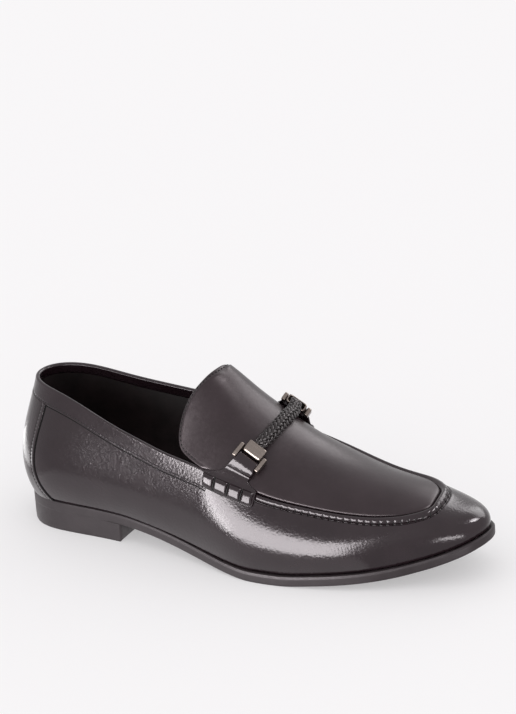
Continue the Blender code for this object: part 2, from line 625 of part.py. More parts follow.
# frame of a fitting: middle of its bar, then axes toward the toe, up the instep and off the upper
def fitting_frame(side):
    field = skin(side)
    row, pace = strap_row(field, side)
    reach = bar_reach(side)
    places = np.array([reach, reach + 4.0, reach - 3.0])
    lean = STRAP_SWEEP * (reach + (places - reach) * 0.5) * pace
    here, above, below = on_skin(field, row - lean, places, 0.0)
    off = on_skin(field, row - STRAP_SWEEP * reach * pace, reach, 1.0) - here
    up = above - below
    up /= np.linalg.norm(up)
    off -= up * np.dot(off, up)
    off /= np.linalg.norm(off)
    toe = np.cross(up, off)
    toe *= np.sign(toe[0])
    return here + off * BAR_LIFT, np.stack([toe, up, off])


def box(work, size, centre, bevel):
    made = bmesh.ops.create_cube(work, size=1.0)["verts"]
    for vert in made:
        vert.co = [vert.co[k] * size[k] + centre[k] for k in range(3)]
    if bevel:
        edges = list({e for vert in made for e in vert.link_edges})
        bmesh.ops.bevel(work, geom=edges, offset=bevel, segments=1, profile=0.5, affect="EDGES")


# block face that takes the cord, along the fitting's own instep axis
BLOCK_START = BAR_RADIUS + GAP + STRAP_THICK + GAP
BLOCK_END = BLOCK_START + BLOCK_SIZE[1]


def build_fitting(name, side, collection, mat, cutters):
    origin, axes = fitting_frame(side)
    tools = []
    specs = [
        ((PLATE_SIZE[0], PLATE_SIZE[1], PLATE_SIZE[2]), (-PLATE_APART / 2, PLATE_MIDDLE, 0.4), 0.4),
        ((PLATE_SIZE[0], PLATE_SIZE[1], PLATE_SIZE[2]), (PLATE_APART / 2, PLATE_MIDDLE, 0.4), 0.4),
        (BLOCK_SIZE, (0.0, (BLOCK_START + BLOCK_END) / 2, 0.6), 0.7),
        ((PLATE_APART, 2.4, 2.2), (0.0, BLOCK_START + 1.5, 0.1), 0.0),
    ]
    for size, centre, bevel in specs:
        work = bmesh.new()
        box(work, size, centre, bevel)
        tools.append(work)
    work = bmesh.new()
    bmesh.ops.create_cone(work, cap_ends=True, segments=12, radius1=BAR_RADIUS, radius2=BAR_RADIUS,
                          depth=PLATE_APART)
    for vert in work.verts:
        vert.co = (vert.co[2], vert.co[1], vert.co[0])
    tools.append(work)
    objects = []
    for k, work in enumerate(tools):
        verts = np.array([v.co for v in work.verts]) @ axes + origin
        faces = [[v.index for v in f.verts] for f in work.faces]
        work.free()
        label = name if k == 0 else name + "_cut_" + str(k)
        objects.append(add_object(label, verts, faces, mat, collection if k == 0 else cutters))
    for tool in objects[1:]:
        tool.hide_render = True
        tool.display_type = "WIRE"
        join = objects[0].modifiers.new("join", "BOOLEAN")
        join.operation = "UNION"
        join.solver = "EXACT"
        join.object = tool
    return objects[0]


# row of the apron that the cord follows, at one side
def cord_row(side):
    row, pace = strap_row(skin(side), side)
    return row - STRAP_SWEEP * (bar_reach(side) + BLOCK_END) * pace


# cord from one fitting to the other over the instep, strands raised in a plait
def build_braid(collection, mat):
    lat_origin, lat_axes = fitting_frame(-1)
    med_origin, med_axes = fitting_frame(1)
    start = lat_origin + lat_axes[1] * (BLOCK_END + GAP + 0.2) + lat_axes[2] * 0.6
    finish = med_origin + med_axes[1] * (BLOCK_END + GAP + 0.2) + med_axes[2] * 0.6
    w = np.linspace(-0.3, 0.3, 5)
    v = np.interp(w, [-1.0, 1.0], [cord_row(-1), cord_row(1)])
    base = apron(v, w)
    ahead = apron(v - 0.05, w) - apron(v + 0.05, w)
    side = apron(v, w + 0.01) - apron(v, w - 0.01)
    off = np.cross(ahead, side)
    off /= np.linalg.norm(off, axis=1)[:, None]
    path = np.vstack([start, start + lat_axes[1] * 1.5, start + lat_axes[1] * 3.0, base + off * BRAID_LIFT,
                      finish + med_axes[1] * 3.0, finish + med_axes[1] * 1.5, finish])
    path = even_curve(path, BRAID_RINGS)
    run = np.gradient(path, axis=0)
    run /= np.linalg.norm(run, axis=1)[:, None]
    off = np.array([np.interp(np.linspace(0, 1, len(path)), [0, 0.5, 1], [a, b, c]) for a, b, c in
                    zip(lat_axes[2], off[2], med_axes[2])]).T
    off -= run * np.sum(off * run, axis=1)[:, None]
    off /= np.linalg.norm(off, axis=1)[:, None]
    wide = np.cross(run, off)
    turn = np.linspace(0, 2 * math.pi, BRAID_SIDES, endpoint=False)[None, :]
    step = np.arange(len(path))[:, None] * (2 * math.pi / BRAID_PITCH)
    plait = np.maximum(np.cos(3 * turn + step), np.cos(3 * turn - step))
    across = (BRAID_HALF[0] + BRAID_RELIEF * plait) * np.sin(turn)
    above = (BRAID_HALF[1] + BRAID_RELIEF * plait) * np.cos(turn)
    grid = path[:, None] + off[:, None] * above[..., None] + wide[:, None] * across[..., None]
    n, k = grid.shape[:2]
    index = np.arange(n * k).reshape(n, k)
    nxt = np.roll(index, -1, 1)
    quads = np.stack([index[:-1], index[1:], nxt[1:], nxt[:-1]], -1).reshape(-1, 4).tolist()
    return add_object("braid", grid.reshape(-1, 3), quads + [index[0].tolist(), index[-1, ::-1].tolist()],
                      mat, collection)


def clear_scene():
    for obj in list(bpy.data.objects):
        bpy.data.objects.remove(obj, do_unlink=True)


def main():
    clear_scene()
    parts = bpy.data.collections.new(NAME)
    cutters = bpy.data.collections.new(NAME + "_cutters")
    bpy.context.scene.collection.children.link(parts)
    bpy.context.scene.collection.children.link(cutters)
    cutters.hide_render = True
    edge = material("black_sole_leather", (0.02, 0.02, 0.02), 0.0, 0.45)
    rubber = material("heel_rubber", (0.02, 0.02, 0.02), 0.0, 0.6)
    leather = material("black_polished_leather", (0.015, 0.014, 0.014), 0.0, 0.3)
    lining = material("dark_lining", (0.05, 0.045, 0.04), 0.0, 0.6)
    metal = material("dark_nickel", (0.35, 0.33, 0.31), 1.0, 0.3)
    cord = material("black_braid", (0.02, 0.02, 0.02), 0.0, 0.5)
    build_outsole(parts, edge)
    build_heel(parts, rubber)
    build_upper(parts, leather)
    build_insole(parts, lining)
    build_strap("strap_lateral", -1, parts, leather)
    build_strap("strap_medial", 1, parts, leather)
    build_fitting("fitting_lateral", -1, parts, metal, cutters)
    build_fitting("fitting_medial", 1, parts, metal, cutters)
    build_braid(parts, cord)


main()
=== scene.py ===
# bit loafer, right shoe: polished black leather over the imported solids
# lengths are millimetres from the back of the sole, x to the toe, y to the medial side, z up
import math

import bmesh
import bpy
import numpy as np
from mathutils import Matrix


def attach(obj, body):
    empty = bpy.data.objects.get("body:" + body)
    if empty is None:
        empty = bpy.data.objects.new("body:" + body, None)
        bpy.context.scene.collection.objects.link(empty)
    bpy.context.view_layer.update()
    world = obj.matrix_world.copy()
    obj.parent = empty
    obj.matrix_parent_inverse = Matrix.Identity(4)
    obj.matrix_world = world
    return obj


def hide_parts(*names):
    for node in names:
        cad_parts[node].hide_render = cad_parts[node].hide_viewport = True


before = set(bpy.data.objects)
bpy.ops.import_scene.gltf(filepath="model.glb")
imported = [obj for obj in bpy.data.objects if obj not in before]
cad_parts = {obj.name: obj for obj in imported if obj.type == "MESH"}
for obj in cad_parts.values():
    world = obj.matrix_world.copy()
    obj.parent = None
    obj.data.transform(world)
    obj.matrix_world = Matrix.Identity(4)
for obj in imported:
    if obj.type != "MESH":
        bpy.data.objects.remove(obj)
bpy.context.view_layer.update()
print("frame loaded")

mm = 0.001
originX = 34.0            # the frame's origin is the middle of the heel
weldReach = 0.002         # points of a welded piece that are nearer than this are joined

shoe = {
    "length": 300.0,
    "ballWidth": 102.0,
    "instep": 100.0,
    "backHeight": 73.2,
    "heelHeight": 12.0,
    "toeSpring": 24.0,
    "soleThick": 6.4,
    "soleLedge": 2.7,
    "ledgeFade": (0.267, 0.567),    # the ledge widens between these shares of the length
    "ledgeLeast": 0.12,             # share of it left round the heel
    "heelBreast": 68.0,
    "breastSlant": 7.0,
    "breastHollow": 5.0,
    "gap": 0.3,
}

# sole outline from the heel round the lateral side: share of length, share of ball width
soleOutline = [
    (-0.008, 0.000), (0.007, -0.152), (0.043, -0.250), (0.100, -0.286), (0.167, -0.296), (0.240, -0.316),
    (0.333, -0.364), (0.429, -0.440), (0.502, -0.505), (0.569, -0.532), (0.686, -0.498), (0.799, -0.408),
    (0.895, -0.284), (0.970, -0.167), (1.000, -0.029), (0.992, 0.093), (0.950, 0.216), (0.853, 0.324),
    (0.760, 0.407), (0.667, 0.451), (0.587, 0.456), (0.493, 0.392), (0.407, 0.294), (0.327, 0.250),
    (0.240, 0.265), (0.160, 0.294), (0.093, 0.289), (0.040, 0.235), (0.005, 0.132),
]
# underside behind the ball, share of heel height, then ahead of it, share of toe spring
archRows = [
    (-0.010, 1.083), (0.113, 1.058), (0.227, 1.000), (0.300, 0.825), (0.363, 0.592), (0.433, 0.308),
    (0.493, 0.104), (0.547, 0.000),
]
springRows = [
    (0.607, 0.000), (0.683, 0.071), (0.767, 0.179), (0.833, 0.308), (0.900, 0.513), (0.950, 0.733),
    (1.000, 1.000),
]
# collar from the lateral throat round the heel: shares of length, ball width and back height
collarRows = [
    (0.383, -0.333, 0.708), (0.337, -0.314, 0.713), (0.290, -0.294, 0.738), (0.240, -0.275, 0.779),
    (0.193, -0.255, 0.842), (0.147, -0.232, 0.911), (0.100, -0.203, 0.966), (0.057, -0.157, 0.990),
    (0.028, -0.088, 0.999), (0.018, 0.000, 1.000), (0.028, 0.093, 0.997), (0.057, 0.167, 0.988),
    (0.100, 0.224, 0.958), (0.153, 0.260, 0.908), (0.200, 0.282, 0.869), (0.250, 0.306, 0.839),
    (0.310, 0.329, 0.827), (0.373, 0.347, 0.822),
]
# apron and tongue from the toe: lateral edge, crown, medial edge (length, ball width, instep), fullness
apronRows = [
    (0.887, -0.235, 0.249, 0.890, -0.029, 0.292, 0.877, 0.176, 0.292, 2.2),
    (0.837, -0.255, 0.283, 0.840, -0.029, 0.358, 0.837, 0.201, 0.320, 2.2),
    (0.750, -0.299, 0.322, 0.753, -0.020, 0.438, 0.757, 0.245, 0.370, 2.2),
    (0.663, -0.338, 0.375, 0.673, 0.000, 0.517, 0.663, 0.294, 0.455, 2.2),
    (0.573, -0.373, 0.438, 0.597, 0.020, 0.631, 0.580, 0.343, 0.511, 2.2),
    (0.500, -0.377, 0.491, 0.537, 0.034, 0.750, 0.512, 0.368, 0.549, 2.3),
    (0.433, -0.356, 0.519, 0.485, 0.034, 0.856, 0.450, 0.363, 0.581, 2.4),
    (0.377, -0.299, 0.561, 0.448, 0.034, 0.941, 0.407, 0.338, 0.621, 2.5),
    (0.333, -0.255, 0.636, 0.422, 0.029, 1.000, 0.370, 0.314, 0.668, 2.6),
]
# ribs of the wall: place on the top edge, foot, side, lean out, lean in, reach of both
ribRows = [
    (0.00, -0.008, 0, 24.0, 15.0, 0.38, 0.40),
    (0.25, 0.067, -1, 23.0, 13.0, 0.38, 0.40),
    (0.55, 0.227, -1, 20.0, 8.0, 0.40, 0.40),
    (1.00, 0.427, -1, 14.0, 22.0, 0.38, 0.38),
    (1.30, 0.573, -1, 16.0, 42.0, 0.38, 0.42),
    (1.60, 0.730, -1, 18.0, 52.0, 0.38, 0.42),
    (1.82, 0.873, -1, 16.0, 60.0, 0.40, 0.45),
    (2.00, 1.000, 0, 12.0, 66.0, 0.42, 0.50),
    (2.18, 0.873, 1, 16.0, 60.0, 0.40, 0.52),
    (2.40, 0.730, 1, 16.0, 52.0, 0.38, 0.46),
    (2.70, 0.573, 1, 14.0, 42.0, 0.38, 0.42),
    (3.00, 0.433, 1, 10.0, 22.0, 0.38, 0.38),
    (3.45, 0.227, 1, 16.0, 8.0, 0.40, 0.40),
    (3.75, 0.067, 1, 23.0, 13.0, 0.38, 0.40),
    (4.00, -0.008, 0, 24.0, 15.0, 0.38, 0.40),
]


# camera of the photograph: turned, raised and rolled, 516 x 714 image
view = {
    "azimuth": 26.86,
    "elevation": 25.51,
    "roll": 4.45,
    "focal": 4402.0,          # in pixels of the image
    "imageLong": 714.0,
    "aim": (150.0, 0.0, 40.0),
    "right": 4.33,            # the eye's way from the aim: right, up and back
    "up": 73.07,
    "distance": 2644.2,
}


# object of this data in the scene
def linked(name, data):
    made = bpy.data.objects.new(name, data)
    bpy.context.scene.collection.objects.link(made)
    return made


# direction at a turn from the side view and a rise off the floor, then the level direction to its right
def directionOf(turn, rise):
    a = math.radians(turn)
    e = math.radians(rise)
    back = np.array([math.sin(a) * math.cos(e), -math.cos(a) * math.cos(e), math.sin(e)])
    return back, np.array([math.cos(a), math.sin(a), 0.0])


# camera or lamp turned so that its own x, y and z are side, up and back
def turnTo(thing, side, up, back, middle):
    turned = np.eye(4)
    turned[:3, :3] = np.stack([side, up, back], -1)
    turned[:3, 3] = (np.asarray(middle) - [originX, 0.0, 0.0]) * mm
    thing.matrix_world = turned.T


# the eye stands off the aim along right, up and back, then right and up are rolled about back
def makeCamera():
    back, right = directionOf(view["azimuth"], view["elevation"])
    up = np.cross(back, right)
    eye = np.array(view["aim"]) + right * view["right"] + up * view["up"] + back * view["distance"]
    data = bpy.data.cameras.new("camera")
    data.sensor_width = 36.0
    data.lens = view["focal"] / view["imageLong"] * data.sensor_width
    data.clip_start = 0.05
    data.clip_end = 50.0
    camera = linked("camera", data)
    c = math.cos(math.radians(view["roll"]))
    s = math.sin(math.radians(view["roll"]))
    turnTo(camera, right * c - up * s, right * s + up * c, back, eye)
    bpy.context.scene.camera = camera


makeCamera()
print("camera set")


mixing = {
    "toneDetail": 4.0,
    "toneSpan": (0.35, 0.65),     # noise values of the dark and the light tone
    "glossDetail": 5.0,
    "glossSpan": (0.3, 0.7),      # noise values of the least and the most roughness
}


# noise on the piece's own coordinates
def addNoise(tree, place, scale, detail):
    noise = tree.nodes.new("ShaderNodeTexNoise")
    noise.inputs["Scale"].default_value = scale
    noise.inputs["Detail"].default_value = detail
    tree.links.new(place.outputs["Object"], noise.inputs["Vector"])
    return noise.outputs["Fac"]


# every finish is one Principled shader; bump, tone and gloss follow noises on Object coordinates
def makeMaterial(name, look):
    made = bpy.data.materials.new(name)
    made.use_nodes = True
    tree = made.node_tree
    nodes = tree.nodes
    links = tree.links
    shader = nodes["Principled BSDF"]
    for socket, value in look["shader"].items():
        shader.inputs[socket].default_value = value
    place = nodes.new("ShaderNodeTexCoord")
    normal = None
    for scale, detail, strength, depth in look.get("bumps", []):
        bump = nodes.new("ShaderNodeBump")
        bump.inputs["Strength"].default_value = strength
        bump.inputs["Distance"].default_value = depth
        links.new(addNoise(tree, place, scale, detail), bump.inputs["Height"])
        if normal:
            links.new(normal, bump.inputs["Normal"])
        normal = bump.outputs["Normal"]
    if normal:
        links.new(normal, shader.inputs["Normal"])
    if "tones" in look:
        scale, *tones = look["tones"]
        ramp = nodes.new("ShaderNodeValToRGB")
        for stop, at, tone in zip(ramp.color_ramp.elements, mixing["toneSpan"], tones):
            stop.position = at
            stop.color = tone + (1.0,)
        links.new(addNoise(tree, place, scale, mixing["toneDetail"]), ramp.inputs["Fac"])
        links.new(ramp.outputs["Color"], shader.inputs["Base Color"])
    if "gloss" in look:
        scale, low, high = look["gloss"]
        span = nodes.new("ShaderNodeMapRange")
        ends = zip(("From Min", "From Max", "To Min", "To Max"), mixing["glossSpan"] + (low, high))
        for socket, value in ends:
            span.inputs[socket].default_value = value
        links.new(addNoise(tree, place, scale, mixing["glossDetail"]), span.inputs["Value"])
        links.new(span.outputs["Result"], shader.inputs["Roughness"])
    return made


# tones: noise scale, dark, light; gloss: noise scale, least and most roughness
# bumps: noise scale, detail, strength, depth in metres
finishes = {
    "polishedLeather": {
        "shader": {"Roughness": 0.17, "Specular IOR Level": 0.37, "Coat Weight": 0.1, "Coat Roughness": 0.12,
                   "Specular Tint": (1.0, 0.93, 0.965, 1.0)},
        "tones": (60.0, (0.0135, 0.0068, 0.0090), (0.0190, 0.0108, 0.0135)),
        "gloss": (420.0, 0.14, 0.2),
        "bumps": [(700.0, 2.0, 0.4, 0.0003)],
    },
    "satinLeather": {
        "shader": {"Roughness": 0.4, "Specular IOR Level": 0.4,
                   "Specular Tint": (1.0, 0.89, 0.925, 1.0)},
        "tones": (60.0, (0.0140, 0.0072, 0.0092), (0.0195, 0.0112, 0.0138)),
        "gloss": (420.0, 0.29, 0.37),
        "bumps": [(1500.0, 3.0, 0.07, 0.00018)],
    },
    "liningLeather": {
        "shader": {"Roughness": 0.6, "Specular IOR Level": 0.35},
        "tones": (90.0, (0.010, 0.0060, 0.0062), (0.018, 0.0110, 0.0115)),
        "bumps": [(1100.0, 3.0, 0.2, 0.0002)],
    },
    "soleEdge": {
        "shader": {"Roughness": 0.5, "Specular IOR Level": 0.36, "Specular Tint": (1.0, 0.93, 0.965, 1.0)},
        "tones": (120.0, (0.022, 0.016, 0.018), (0.030, 0.023, 0.025)),
        "gloss": (700.0, 0.42, 0.56),
        "bumps": [(1300.0, 4.0, 0.15, 0.0002)],
    },
    "soleGround": {
        "shader": {"Roughness": 0.65, "Specular IOR Level": 0.4},
        "tones": (200.0, (0.020, 0.017, 0.017), (0.036, 0.031, 0.030)),
        "bumps": [(900.0, 5.0, 0.35, 0.0003)],
    },
    "thread": {
        "shader": {"Base Color": (0.005, 0.0035, 0.004, 1.0), "Roughness": 0.6, "Specular IOR Level": 0.25},
        "bumps": [(4000.0, 2.0, 0.3, 0.0001)],
    },
    "darkNickel": {
        "shader": {"Metallic": 1.0, "Base Color": (0.19, 0.16, 0.145, 1.0), "Roughness": 0.3},
        "gloss": (900.0, 0.24, 0.36),
        "bumps": [(2200.0, 2.0, 0.05, 0.0001)],
    },
    # near-black and matt: the cut edges' own dark, and painted gap shade where these faces lie flat on the
    # wall past an edge
    "cutEdgeAndGapShade": {
        "shader": {"Base Color": (0.002, 0.0014, 0.0016, 1.0), "Roughness": 0.8, "Specular IOR Level": 0.08},
    },
    "braidLeather": {
        "shader": {"Roughness": 0.3, "Specular IOR Level": 0.46, "Specular Tint": (1.0, 0.92, 0.94, 1.0)},
        "tones": (500.0, (0.006, 0.0045, 0.0045), (0.014, 0.011, 0.011)),
        "bumps": [(3500.0, 3.0, 0.35, 0.00012)],
    },
}
material = {name: makeMaterial(name, look) for name, look in finishes.items()}
print("finishes mixed")


# a piece from points in shoe millimetres; faceSets are pairs of a quad array and a material place
def addPiece(name, points, faceSets, finishNames, replaced=(), welded=False):
    verts = (np.asarray(points, float).reshape(-1, 3) - [originX, 0.0, 0.0]) * mm
    quads = np.vstack([faces for faces, _ in faceSets])
    which = np.concatenate([np.full(len(faces), place) for faces, place in faceSets])
    mesh = bpy.data.meshes.new(name)
    mesh.from_pydata(verts.tolist(), [], quads.tolist())
    mesh.polygons.foreach_set("material_index", which.astype(np.int32))
    mesh.polygons.foreach_set("use_smooth", np.ones(len(mesh.polygons), bool))
    for finish in finishNames:
        mesh.materials.append(material[finish])
    if welded:
        work = bmesh.new()
        work.from_mesh(mesh)
        bmesh.ops.remove_doubles(work, verts=work.verts, dist=weldReach * mm)
        work.to_mesh(mesh)
        work.free()
    mesh.validate()
    mesh.update()
    piece = linked(name, mesh)
    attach(piece, "root")
    if replaced:
        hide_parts(*replaced)
    return piece


# quads of a grid of rows and columns; closed joins the last column to the first
def gridFaces(rows, cols, closed=False, start=0, flip=False):
    index = start + np.arange(rows * cols).reshape(rows, cols)
    ahead = np.roll(index, -1, 1) if closed else index[:, 1:]
    here = index if closed else index[:, :-1]
    quads = np.stack([here[:-1], here[1:], ahead[1:], ahead[:-1]], -1).reshape(-1, 4)
    return quads[:, ::-1] if flip else quads


# unit normals of a grid: cross product of the differences along both of its directions
def gridNormals(grid, closed=False):
    down = np.gradient(grid, axis=0)
    along = (np.roll(grid, -1, 1) - np.roll(grid, 1, 1)) if closed else np.gradient(grid, axis=1)
    normal = np.cross(down, along)
    return normal / np.maximum(np.linalg.norm(normal, axis=-1, keepdims=True), 1e-9)


# wall of even thickness, grown inward
def thicken(piece, thickness, inner=0, rim=0):
    shell = piece.modifiers.new("thickness", "SOLIDIFY")
    shell.thickness = thickness * mm
    shell.offset = -1.0
    shell.use_even_offset = True
    shell.use_quality_normals = True
    shell.material_offset = inner
    shell.material_offset_rim = rim


# 3x^2 - 2x^3 between 0 and 1, level outside
def smoothStep(x):
    x = np.clip(x, 0.0, 1.0)
    return x * x * (3 - 2 * x)


# how far an edge of this radius has fallen away at a distance in from its border
def roundedDrop(radius, away):
    return radius - np.sqrt(np.maximum(radius ** 2 - np.maximum(radius - away, 0.0) ** 2, 0.0))


# vectors divided by their length
def unit(vectors):
    return vectors / np.linalg.norm(vectors, axis=-1, keepdims=True)


# way walked along a line of points, 0 at its first
def runAlong(line):
    return np.r_[0.0, np.cumsum(np.linalg.norm(np.diff(line, axis=0), axis=1))]


# rows of a table at wanted places, straight between the known ones
def rowsAt(wanted, known, table):
    return np.stack([np.interp(wanted, known, table[:, k]) for k in range(table.shape[1])], -1)


splineFine = 60           # points drawn between two rows of a spline


# cubic spline through the rows with even bending, knots at the root of the chord
def splineThrough(rows, places, closed=False):
    p = np.asarray(rows, float)
    p = np.vstack([p, p[:1]]) if closed else p
    n = len(p)
    knots = np.r_[0.0, np.cumsum(np.linalg.norm(np.diff(p[:, :2], axis=0), axis=1) ** 0.5 + 1e-9)]
    h = np.diff(knots)
    slope = np.diff(p, axis=0) / h[:, None]
    a = np.zeros((n, n))
    b = np.zeros_like(p)
    i = np.arange(1, n - 1)
    a[i, i - 1] = h[:-1]
    a[i, i] = 2 * (h[:-1] + h[1:])
    a[i, i + 1] = h[1:]
    b[1:-1] = 6 * np.diff(slope, axis=0)
    if closed:
        a[0, :2] = (2 * (h[0] + h[-1]), h[0])
        a[0, n - 2] += h[-1]
        b[0] = 6 * (slope[0] - slope[-1])
        a[n - 1, [0, n - 1]] = (1.0, -1.0)
    else:
        a[[0, n - 1], [0, n - 1]] = 1.0
    m = np.linalg.solve(a, b)
    t = np.interp(places, np.arange(n), knots)
    i = np.clip(np.searchsorted(knots, t, side="right") - 1, 0, n - 2)
    s = (t - knots[i])[:, None]
    w = (knots[i + 1] - t)[:, None]
    d = h[i][:, None]
    bend = m[i] * (w ** 3 / d - w * d) / 6 + m[i + 1] * (s ** 3 / d - s * d) / 6
    return bend + p[i] * w / d + p[i + 1] * s / d


# a line drawn through points, cut into equal lengths
def evenCut(line, count):
    run = runAlong(line)
    return rowsAt(np.linspace(0, run[-1], count + 1), run, line)


# the spline drawn finely, then cut into equal lengths
def evenSpline(rows, count, closed=False):
    n = len(rows) if closed else len(rows) - 1
    even = evenCut(splineThrough(rows, np.linspace(0, n, splineFine * n + 1), closed), count)
    return even[:-1] if closed else even


# rising or falling curve through the rows with no dips between them
def steadyCurve(x, rows):
    table = np.asarray(rows, float)
    xs = table[:, 0]
    ys = table[:, 1:]
    h = np.diff(xs)[:, None]
    d = np.diff(ys, axis=0) / h
    w1 = 2 * h[1:] + h[:-1]
    w2 = h[1:] + 2 * h[:-1]
    same = d[1:] * d[:-1] > 0
    ahead = np.where(same, d[1:], 1.0)
    behind = np.where(same, d[:-1], 1.0)
    m = np.vstack([d[:1], np.where(same, (w1 + w2) / (w1 / behind + w2 / ahead), 0.0), d[-1:]])
    q = np.clip(np.ravel(x), xs[0], xs[-1])
    i = np.clip(np.searchsorted(xs, q, side="right") - 1, 0, len(xs) - 2)
    t = ((q - xs[i]) / h[i, 0])[:, None]
    v = ((1 + 2 * t) * (1 - t) ** 2 * ys[i] + t * (1 - t) ** 2 * h[i] * m[i]
         + t * t * (3 - 2 * t) * ys[i + 1] + t * t * (t - 1) * h[i] * m[i + 1])
    return v.reshape(np.shape(x) + (ys.shape[1],)) if ys.shape[1] > 1 else v[:, 0].reshape(np.shape(x))


# points of many lines at once: lines and runs are (points, lines), cuts are wanted runs (rows, lines)
def cutLines(lines, runs, cuts):
    shift = np.arange(lines.shape[1]) * 1.0e4     # puts the lines end to end, far apart
    wanted = (np.minimum(cuts, runs[-1]) + shift).T.ravel()
    known = (runs + shift).T.ravel()
    found = [np.interp(wanted, known, lines[..., k].T.ravel()) for k in range(lines.shape[2])]
    return np.stack(found, -1).reshape(lines.shape[1], -1, lines.shape[2]).transpose(1, 0, 2)


# way walked along each of the lines, (points, lines)
def runsOf(lines):
    step = np.linalg.norm(np.diff(lines, axis=0), axis=2)
    return np.vstack([np.zeros((1, lines.shape[1])), np.cumsum(step, axis=0)])


# height of the sole's underside: one steady curve through the arch and the toe spring
def underside(x):
    rows = np.vstack([np.array(archRows) * [shoe["length"], shoe["heelHeight"]],
                      np.array(springRows) * [shoe["length"], shoe["toeSpring"]]])
    return steadyCurve(x, rows)


# the underside raised by the sole's thickness
def soleTop(x):
    return underside(x) + shoe["soleThick"]


# unit normals of a loop, pointing out: its direction turned by a right angle
def outward(loop):
    run = np.roll(loop, -1, 0) - np.roll(loop, 1, 0)
    return unit(np.stack([run[:, 1], -run[:, 0]], -1))


# sole outline moved in by an inset and by a share of the ledge, which narrows round the heel
def soleLoop(count, inset=0.0, ledge=0.0):
    loop = evenSpline(np.array(soleOutline) * [shoe["length"], shoe["ballWidth"]], count, closed=True)
    share = np.interp(loop[:, 0] / shoe["length"], shoe["ledgeFade"], [0.0, 1.0]).clip(shoe["ledgeLeast"])
    return loop - outward(loop) * (inset + shoe["soleLedge"] * ledge * share)[:, None]


# a table of shares times the named size of each column
def sized(rows, sizes):
    return np.array(rows, float) * [shoe.get(name, 1.0) for name in sizes]


apronSizes = ["length", "ballWidth", "instep"] * 3 + ["none"]
apronTable = sized(apronRows, apronSizes)
apronTable[:, [2, 5, 8]] += soleTop(apronTable[:, [0, 3, 6]])
lastRow = len(apronRows) - 1.0
throatRow = 6.0
apronEnds = {"front": (1.75, 0.34), "tip": (1.25, 0.55)}    # rows of the taper, least share of the width
# points drawn along half of the seam, along tongue and seam together, and to the toe's middle
seamFine = 900
tongueFine = 1200
closeFine = 60


# apron and tongue: edges and crown run along splines, the arch between them is 1 - |w|^fullness
def apronPoint(v, w):
    v, w = np.broadcast_arrays(np.asarray(v, float), np.asarray(w, float))
    q = splineThrough(apronTable, np.ravel(v))
    t = np.ravel(w)[:, None]
    rise = 1.0 - np.abs(t) ** q[:, 9:10]
    flat = q[:, 0:3] * (1 - t) / 2 + q[:, 6:9] * (1 + t) / 2
    p = flat + (q[:, 3:6] - (q[:, 0:3] + q[:, 6:9]) / 2) * rise
    return p.reshape(v.shape + (3,))


# share of the width at a row: a quarter ellipse at each end, down to the least share
def apronHalf(v):
    v = np.asarray(v, float)
    shares = []
    for away, (rows, least) in ((v, apronEnds["front"]), (lastRow - v, apronEnds["tip"])):
        part = np.clip(away / rows, 0.0, 1.0)
        shares.append(least + (1 - least) * np.sqrt(1.0 - (1.0 - part) ** 2))
    return np.minimum(*shares)


# half of the apron's edge in rows and widths, from the throat row or the tip to the middle of the toe
def edgeHalf(fromRow, side):
    rows = fromRow * np.cos(np.linspace(0, math.pi / 2, seamFine))
    if fromRow > throatRow:
        rows = (lastRow + lastRow * np.cos(np.linspace(0, math.pi, tongueFine))) / 2
    sweep = np.stack([rows, side * apronHalf(rows)], -1)
    across = np.linspace(apronEnds["front"][1], 0.0, closeFine + 1)[1:]
    return np.vstack([sweep, np.stack([np.zeros(closeFine), side * across], -1)])


rimFine = 1200            # points drawn along the collar


# top edge of the wall in four quarters, each cut evenly: heel, lateral throat, toe, medial throat, heel
def topEdge(collarCount, seamCount):
    left = edgeHalf(throatRow, -1)
    right = edgeHalf(throatRow, 1)
    lateralSeam = apronPoint(left[:, 0], left[:, 1])
    medialSeam = apronPoint(right[:, 0], right[:, 1])
    rows = sized(collarRows, ["length", "ballWidth", "backHeight"])
    rows[:, 2] += soleTop(rows[:, 0])
    rim = evenSpline(np.vstack([lateralSeam[0], rows, medialSeam[0]]), rimFine)
    heel = int(np.argmin(rim[:, 0]))
    quarters = [(rim[:heel + 1][::-1], collarCount), (lateralSeam, seamCount),
                (medialSeam[::-1], seamCount), (rim[heel:][::-1], collarCount)]
    points = [evenCut(line, count)[:-1] for line, count in quarters]
    places = [q + np.arange(count) / count for q, (_, count) in enumerate(quarters)]
    return np.vstack(points), np.concatenate(places)


ribTable = np.array(ribRows, float)
footCount = 1440
footLoop = soleLoop(footCount, 0.0, 1.0)


# share of the way round the sole's outline at which each rib stands, found by its x on its own side
def footShare():
    tip = int(np.argmax(footLoop[:, 0]))
    there = np.arange(tip) / footCount
    home = 1.0 - np.arange(1, footCount - tip) / footCount
    at = ribTable[:, 1] * shoe["length"]
    lateral = np.interp(at, footLoop[:tip, 0], there)
    medial = np.interp(at, footLoop[:tip:-1, 0], home)
    ends = np.where(ribTable[:, 0] == 2.0, tip / footCount, ribTable[:, 0] / 4.0)
    return np.select([ribTable[:, 2] < 0, ribTable[:, 2] > 0], [lateral, medial], ends)


ribCurves = np.c_[ribTable[:, 0], footShare(), ribTable[:, 3:]]
footRing = np.c_[footLoop, outward(footLoop)]
footRing = np.vstack([footRing, footRing[:1]])


